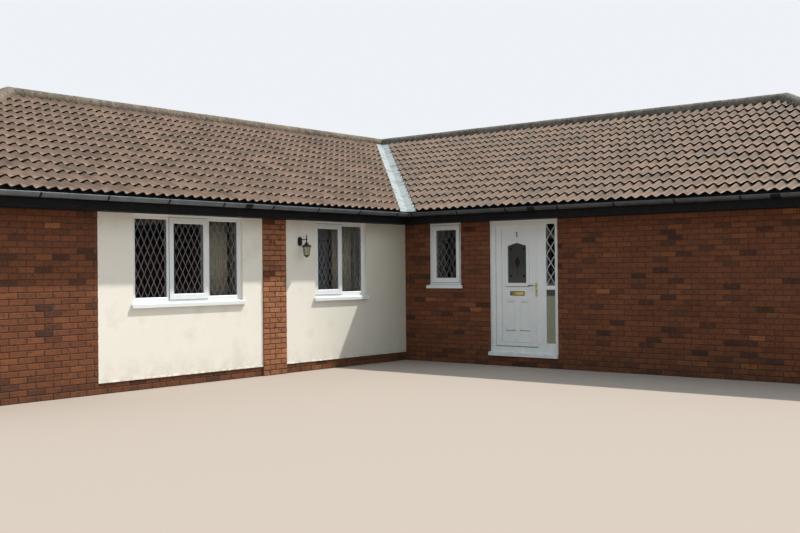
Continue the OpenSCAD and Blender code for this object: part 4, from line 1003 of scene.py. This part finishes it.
# %% Dressing the nodes that stay
for material, names in (
        (WHITE, "front_window_frames front_window_sashes front_window_sills rear_window_frames"
                " rear_window_sashes rear_window_sills door_frame door_sill door_leaf"),
        (BOARD, "side_fascias front_fascias side_soffits front_soffits"),
        (UNION, "gutter_brackets downpipes"), (GUTTER_PAINTED_SKY, "yard_gutter_left"),
        (GUTTER, "yard_gutter_right outer_side_gutters outer_front_gutters"),
        (PLATE_BRASS, "letter_plate"), (HANDLE, "door_handles"), (IRON, "wall_lantern door_number"),
        (WHITE_METAL, "frame_hinges leaf_hinges curtain_rails"),
        (FRONT_GLASS, "front_window_glass"), (REAR_GLASS_ROOM_SHADE, "rear_window_glass"), (DOOR_GLASS, "door_glass"),
        (LANTERN_GLASS, "lantern_glass"), (LINING, "valley_trough"), (TIMBER, "valley_boards"),
        (CONCRETE, "floor_slab"), (CEILING, "ceiling")):
    dress(material, names)
print("nodes dressed")

# %% [markdown]
# ## Leaded lights
# Every pane carries a lattice of lead strips in lozenges about 100 by 190 mm, stuck to the outer
# face. Each strip is a flat bar laid at the lattice's angle, and the four edges of the pane trim
# it. The strips of one slant lie 0.3 mm over those of the other.

# %% Lead lattice
STRIP_W, NARROW_STRIP_W, STRIP_T, STRIP_LAP = 0.009, 0.010, 0.0012, 0.0003
LOZENGE_W, LOZENGE_H = 0.100, 0.190


def lattice(x0, x1, z0, z1, y, strip=STRIP_W, fit=None):
    """Strips over a pane in a wall's frame; fit is the lozenges across and up, a lift and a phase"""
    wide, tall = x1 - x0, z1 - z0
    across, upward = max(2, round(wide / LOZENGE_W)), max(2, round(tall / LOZENGE_H))
    lift, corner_at = 0.0, 0.5 if across % 2 != upward % 2 else 0.0
    if fit:
        across, upward, lift, corner_at = fit
    step_x, step_z = wide / across, tall / upward
    angle = math.atan2(step_z, step_x)
    gap = step_x * math.sin(angle)
    middle = Vector(((x0 + x1) / 2, 0, (z0 + z1) / 2 + lift))
    lines = math.ceil(math.hypot(wide, tall) / gap / 2) + 1
    bm = bmesh.new()
    for side in (-1, 1):
        thick = STRIP_T + (STRIP_LAP if side > 0 else 0)
        for i in range(-lines, lines + 1):
            size = Matrix.Diagonal((2.2 * math.hypot(wide, tall), thick, strip, 1))
            slant = Matrix.Rotation(side * angle, 4, "Y") @ Matrix.Translation((0, 0, (i + corner_at) * gap))
            way = Matrix.Translation(middle + Vector((0, y - thick / 2, 0))) @ slant
            bmesh.ops.create_cube(bm, size=1, matrix=way @ size)
    for point, outward in (((x0, 0, 0), (-1, 0, 0)), ((x1, 0, 0), (1, 0, 0)),
                           ((0, 0, z0), (0, 0, -1)), ((0, 0, z1), (0, 0, 1))):
        trim(bm, point, outward)
    return pattern_from(bm)


print("lattice ready")

# %% [markdown]
# The visible glass of each light follows the joinery: a fixed pane stands 62 mm inside its frame,
# a sash's pane 75 mm inside the sash.

# %% Panes of a window
FRAME_FACE, SASH_FACE, SILL_H, FRAME_FOOT, FRAME_HEAD = 0.062, 0.075, 0.066, 0.027, 0.035
LARGE_SASH_W, SMALL_SASH_W = 0.650, 0.602
FIXED_GLASS, SASH_GLASS = REVEAL + 0.020, REVEAL + 0.008
LARGE_X, SMALL_X = -5.455, -2.155


def window_panes(kind):
    """Visible panes of a window from its lower left corner: (x0, x1, z0, z1, y)"""
    if kind == "large":
        show, width, foot = 0.035, LARGE_W, SILL
        sash = [(width - LARGE_SASH_W) / 2, (width + LARGE_SASH_W) / 2]
        lights = [("fixed", FRAME_FACE, sash[0] - show), ("sash", *sash),
                  ("fixed", sash[1] + show, width - FRAME_FACE)]
    elif kind == "small":
        show, width, foot = 0.022, SMALL_W, SILL
        lights = [("sash", show, show + SMALL_SASH_W),
                  ("fixed", 2 * show + SMALL_SASH_W, width - FRAME_FACE)]
    else:
        show, width, foot = 0.050, HALL[1] - HALL[0], HALL[2]
        lights = [("sash", show, width - show)]
    foot += SILL_H
    made = []
    for style, x0, x1 in lights:
        if style == "fixed":
            made.append((x0, x1, foot + FRAME_FACE, SOFFIT - FRAME_FACE, FIXED_GLASS))
        else:
            made.append((x0 + SASH_FACE, x1 - SASH_FACE, foot + FRAME_FOOT + SASH_FACE,
                         SOFFIT - FRAME_HEAD - SASH_FACE, SASH_GLASS))
    return made


YARD_WINDOWS = [("yard_left", LARGE_X, "large"), ("yard_left", SMALL_X, "small")]
HALL_WINDOW = [("yard_right", HALL[0], "hall")]
REAR_WINDOWS = [(wall, x0, "large" if x1 - x0 > SMALL_W + 0.1 else "small")
                for wall in ("back", "side_left") for x0, x1, _ in LONG_OPENINGS]
REAR_WINDOWS += [(wall, END_OPENINGS[0][0], "large") for wall in ("end_left", "end_right")]
LEFT_JAMB_W, LEAF_W, MULLION_W, RIGHT_JAMB_W = 0.095, 0.770, 0.151, 0.077
SIDE_X0, SIDE_X1 = DOOR[0] + LEFT_JAMB_W + LEAF_W + MULLION_W, DOOR[1] - RIGHT_JAMB_W
SIDELIGHT = ("yard_right", (SIDE_X0, SIDE_X1, 1.242, SOFFIT - 0.072, FIXED_GLASS))


def glazed(windows):
    return [(wall, (at + x0, at + x1, z0, z1, y)) for wall, at, kind in windows
            for x0, x1, z0, z1, y in window_panes(kind)]


def leads(name, panes, finish, **style):
    bm = bmesh.new()
    for wall, pane in panes:
        strips_over = lattice(*pane, **style)
        strips_over.transform(WALLS[wall])
        bm.from_mesh(strips_over)
    mesh = pattern_from(bm)
    put_on_house(name, mesh, [finish])
    print(name, len(mesh.polygons), "faces")


leads("leads_yard_left", glazed(YARD_WINDOWS), LEAD)
leads("leads_hall", glazed(HALL_WINDOW), LEAD, fit=(3.5, 4.2, 0.035, 0.0))
leads("leads_sidelight", [SIDELIGHT], LEAD_PAINTED_BRIGHT, strip=NARROW_STRIP_W, fit=(1, 4.2, -0.006, 0.5))
leads("leads_rear", glazed(REAR_WINDOWS), LEAD)

# %% [markdown]
# An opening sash closes on a rubber seal, shown with painted shade of its gap as a thin grey line
# round it. Four flat strips a sash, let 0.2 mm into the frame's face, draw that line.

# %% Seals round the sashes
SEAL_W, SEAL_REACH, SEAL_Y = 0.005, SASH_FACE + 0.005, (REVEAL - 0.0012, REVEAL + 0.0002)


def around(x0, x1, z0, z1, wide, y0, y1):
    """Four strips along the inner edges of an opening"""
    return [(x0, x0 + wide, z0, z1, y0, y1), (x1 - wide, x1, z0, z1, y0, y1),
            (x0 + wide, x1 - wide, z1 - wide, z1, y0, y1), (x0 + wide, x1 - wide, z0, z0 + wide, y0, y1)]


def strips(name, boxes, finish, body, slot):
    """Boxes given as a wall and (x0, x1, z0, z1, y0, y1) in its frame"""
    bm = bmesh.new()
    for wall, (x0, x1, z0, z1, y0, y1) in boxes:
        bmesh.ops.create_cube(bm, size=1, matrix=WALLS[wall] @ between(x0, x1, y0, y1, z0, z1))
    piece = put_on_house(name, pattern_from(bm), [finish], body)
    print(name, len(boxes), "strips")


# Grey strips round each sash: rubber seal and painted shade of the gap.
sash_seals_and_shade = [
    (wall, box) for wall, (x0, x1, z0, z1, y) in glazed(YARD_WINDOWS + HALL_WINDOW + REAR_WINDOWS)
    if y == SASH_GLASS
    for box in around(x0 - SEAL_REACH, x1 + SEAL_REACH, z0 - SEAL_REACH, z1 + SEAL_REACH, SEAL_W, *SEAL_Y)]
strips("sash_seals_and_shade", sash_seals_and_shade, SEAL, "house", "white_plastic")

# %% [markdown]
# ## Small work on the front door
# Rubber seals close the gap round the leaf. Painted shade in the crevices of its mouldings draws
# them as fine lines. The letter plate has its bright flap, the handle its keyhole, and the glass a
# plain dark red lozenge with a square in each corner.

# %% Strips of the door
LEAF_X0, LEAF_X1, LEAF_Z0, LEAF_Z1, LEAF_Y = 1.780, 2.550, 0.293, 2.178, 0.065
MID, DOOR_SEAL_W, DOOR_SEAL_H = 2.169, 0.006, 0.016
DOOR_SEAL_Y, SHADE_LINE_Y = (LEAF_Y - 0.0045, LEAF_Y - 0.0003), (0.0700, 0.0712)
MOTIF_Y, FLAP_Y, FILM_Y = (0.0762, 0.0769), (0.0656, 0.0679), (0.0590, 0.0598)
PANELS_X, LEDGE_HALF, FLAP_HALF = (MID - 0.218, MID + 0.038), 0.215, 0.118
SQUARE_HALF, SQUARE_LOW, STEM_HALF = 0.019, 1.391, 0.004


def door_strips(name, boxes, *rest):
    strips(name, [("yard_right", box) for box in boxes], *rest)


door_strips("door_seals", around(LEAF_X0, LEAF_X1, LEAF_Z0, LEAF_Z1, DOOR_SEAL_W, *DOOR_SEAL_Y),
            PALE_SEAL, "house", "white_plastic")
# A dark strip across the foot of the leaf: painted shade of the gap at the threshold.
door_strips("door_foot_shade_line", [(LEAF_X0 + DOOR_SEAL_W, LEAF_X1 - DOOR_SEAL_W, LEAF_Z0 + DOOR_SEAL_W,
                                LEAF_Z0 + DOOR_SEAL_H, *DOOR_SEAL_Y)], SEAL, "house", "white_plastic")
# Painted shade in the crevices of the leaf's mouldings and under its ledge.
shaded_crevices = around(1.883, 2.447, 0.365, 2.1775, 0.004, 0.0705, 0.0712)
for x0 in PANELS_X:
    shaded_crevices += [(x0 + a, x0 + b, z0, z1, *SHADE_LINE_Y) for a, b, z0, z1 in (
        (0, 0.180, 1.0215, 1.0245), (0.027, 0.153, 0.986, 0.9945), (0.001, 0.179, 0.543, 0.5555))]
shaded_crevices.append((MID - LEDGE_HALF, MID + LEDGE_HALF, 1.222, 1.2335, *SHADE_LINE_Y))
door_strips("door_crevice_shade", shaded_crevices, CREVICE_SHADE, "front_door", "white_plastic")
film = (SIDE_X0 + 0.0005, SIDE_X1 - 0.0005, 0.3705, 1.1785, *FILM_Y)
door_strips("sidelight_film", [film], SIDE_GLASS, "house", "window_glass")
flap = (MID - FLAP_HALF, MID + FLAP_HALF, 1.1015, 1.1425, *FLAP_Y)
door_strips("letter_flap", [flap], FLAP, "front_door", "brass")
squares = [(x - SQUARE_HALF, x + SQUARE_HALF, z - SQUARE_HALF, z + SQUARE_HALF, *MOTIF_Y)
           for x in (MID - 0.118, MID + 0.118) for z in (SQUARE_LOW, 1.808)]
stem = [(MID - STEM_HALF, MID + STEM_HALF, SQUARE_LOW, 1.520, *MOTIF_Y)]
door_strips("glass_squares", squares + stem, MOTIF, "front_door", "door_glass")


# %% Lozenge and keyhole
def disc(name, x, z, y, wide, tall, thick, sides, finish):
    """A flat shape with so many corners that faces outwards"""
    bm = bmesh.new()
    way = Matrix.Translation((x, y, z)) @ Matrix.Diagonal((wide, thick, tall, 1))
    bmesh.ops.create_cone(bm, cap_ends=True, segments=sides, radius1=0.5, radius2=0.5, depth=1,
                          matrix=WALLS["yard_right"] @ way @ Matrix.Rotation(math.pi / 2, 4, "X"))
    put_on_house(name, pattern_from(bm), [finish], "front_door")


disc("glass_lozenge", MID, 1.605, 0.07625, 0.100, 0.180, 0.0007, 4, MOTIF)
disc("keyhole", 2.516, 1.154, 0.0566, 0.014, 0.022, 0.0006, 12, UNION)
print("door finished")

# %% [markdown]
# ## Curtains
# The front rooms have lined curtains that hang in deep folds from a rail. A curtain is a sheet:
# its foldline is walked along, then drawn up to the rail, and the true width of the cloth is the
# length of that line.


# %% Curtain cloth
def cloth_finish():
    material, tree = new_finish("curtain cloth")
    weave = add(tree, "TexWave", {"Vector": place_of(tree), "Scale": 180.0, "Distortion": 1.5},
                bands_direction="Z").outputs["Fac"]
    body = blotches(tree, (224, 218, 192), (206, 198, 170), 6.0, 0.5, 0.25)
    return surface(material, body, 0.95, 0.5, weave, 0.0006, 0.5, {"Sheen Weight": 0.3})


CLOTH = cloth_finish()
RAIL_Y, CLOTH_TOP, CLOTH_FOOT = WALL_T + 0.060, 2.29775, 0.980
FOLD_D, CLOTH_T, FOLD_STEPS = 0.026, 0.002, 10


def curtain(name, x0, x1, folds):
    bm = bmesh.new()
    steps = folds * FOLD_STEPS
    line = []
    for i in range(steps + 1):
        turn = 2 * math.pi * folds * i / steps
        x = x0 + (x1 - x0) * i / steps + 0.010 * math.sin(2 * turn)
        y = RAIL_Y + FOLD_D * math.sin(turn) * (1 + 0.15 * math.sin(turn / 3))
        line.append(bm.verts.new((x, y, CLOTH_FOOT)))
    edges = [bm.edges.new(pair) for pair in zip(line, line[1:])]
    raised = new_points(bmesh.ops.extrude_edge_only(bm, edges=edges))
    bmesh.ops.translate(bm, verts=raised, vec=(0, 0, CLOTH_TOP - CLOTH_FOOT))
    face_out(bm)
    bmesh.ops.solidify(bm, geom=bm.faces[:], thickness=CLOTH_T)
    face_out(bm)
    bmesh.ops.transform(bm, matrix=WALLS["yard_left"], verts=bm.verts)
    piece = put_on_house(name, pattern_from(bm), [CLOTH], smooth=True)
    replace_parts(piece, "curtains")


curtain("curtain_large", LARGE_X + LARGE_W - 0.48, LARGE_X + LARGE_W - 0.01, 7)
curtain("curtain_small_left", SMALL_X + 0.01, SMALL_X + 0.33, 3)
curtain("curtain_small_right", SMALL_X + SMALL_W - 0.45, SMALL_X + SMALL_W - 0.01, 5)
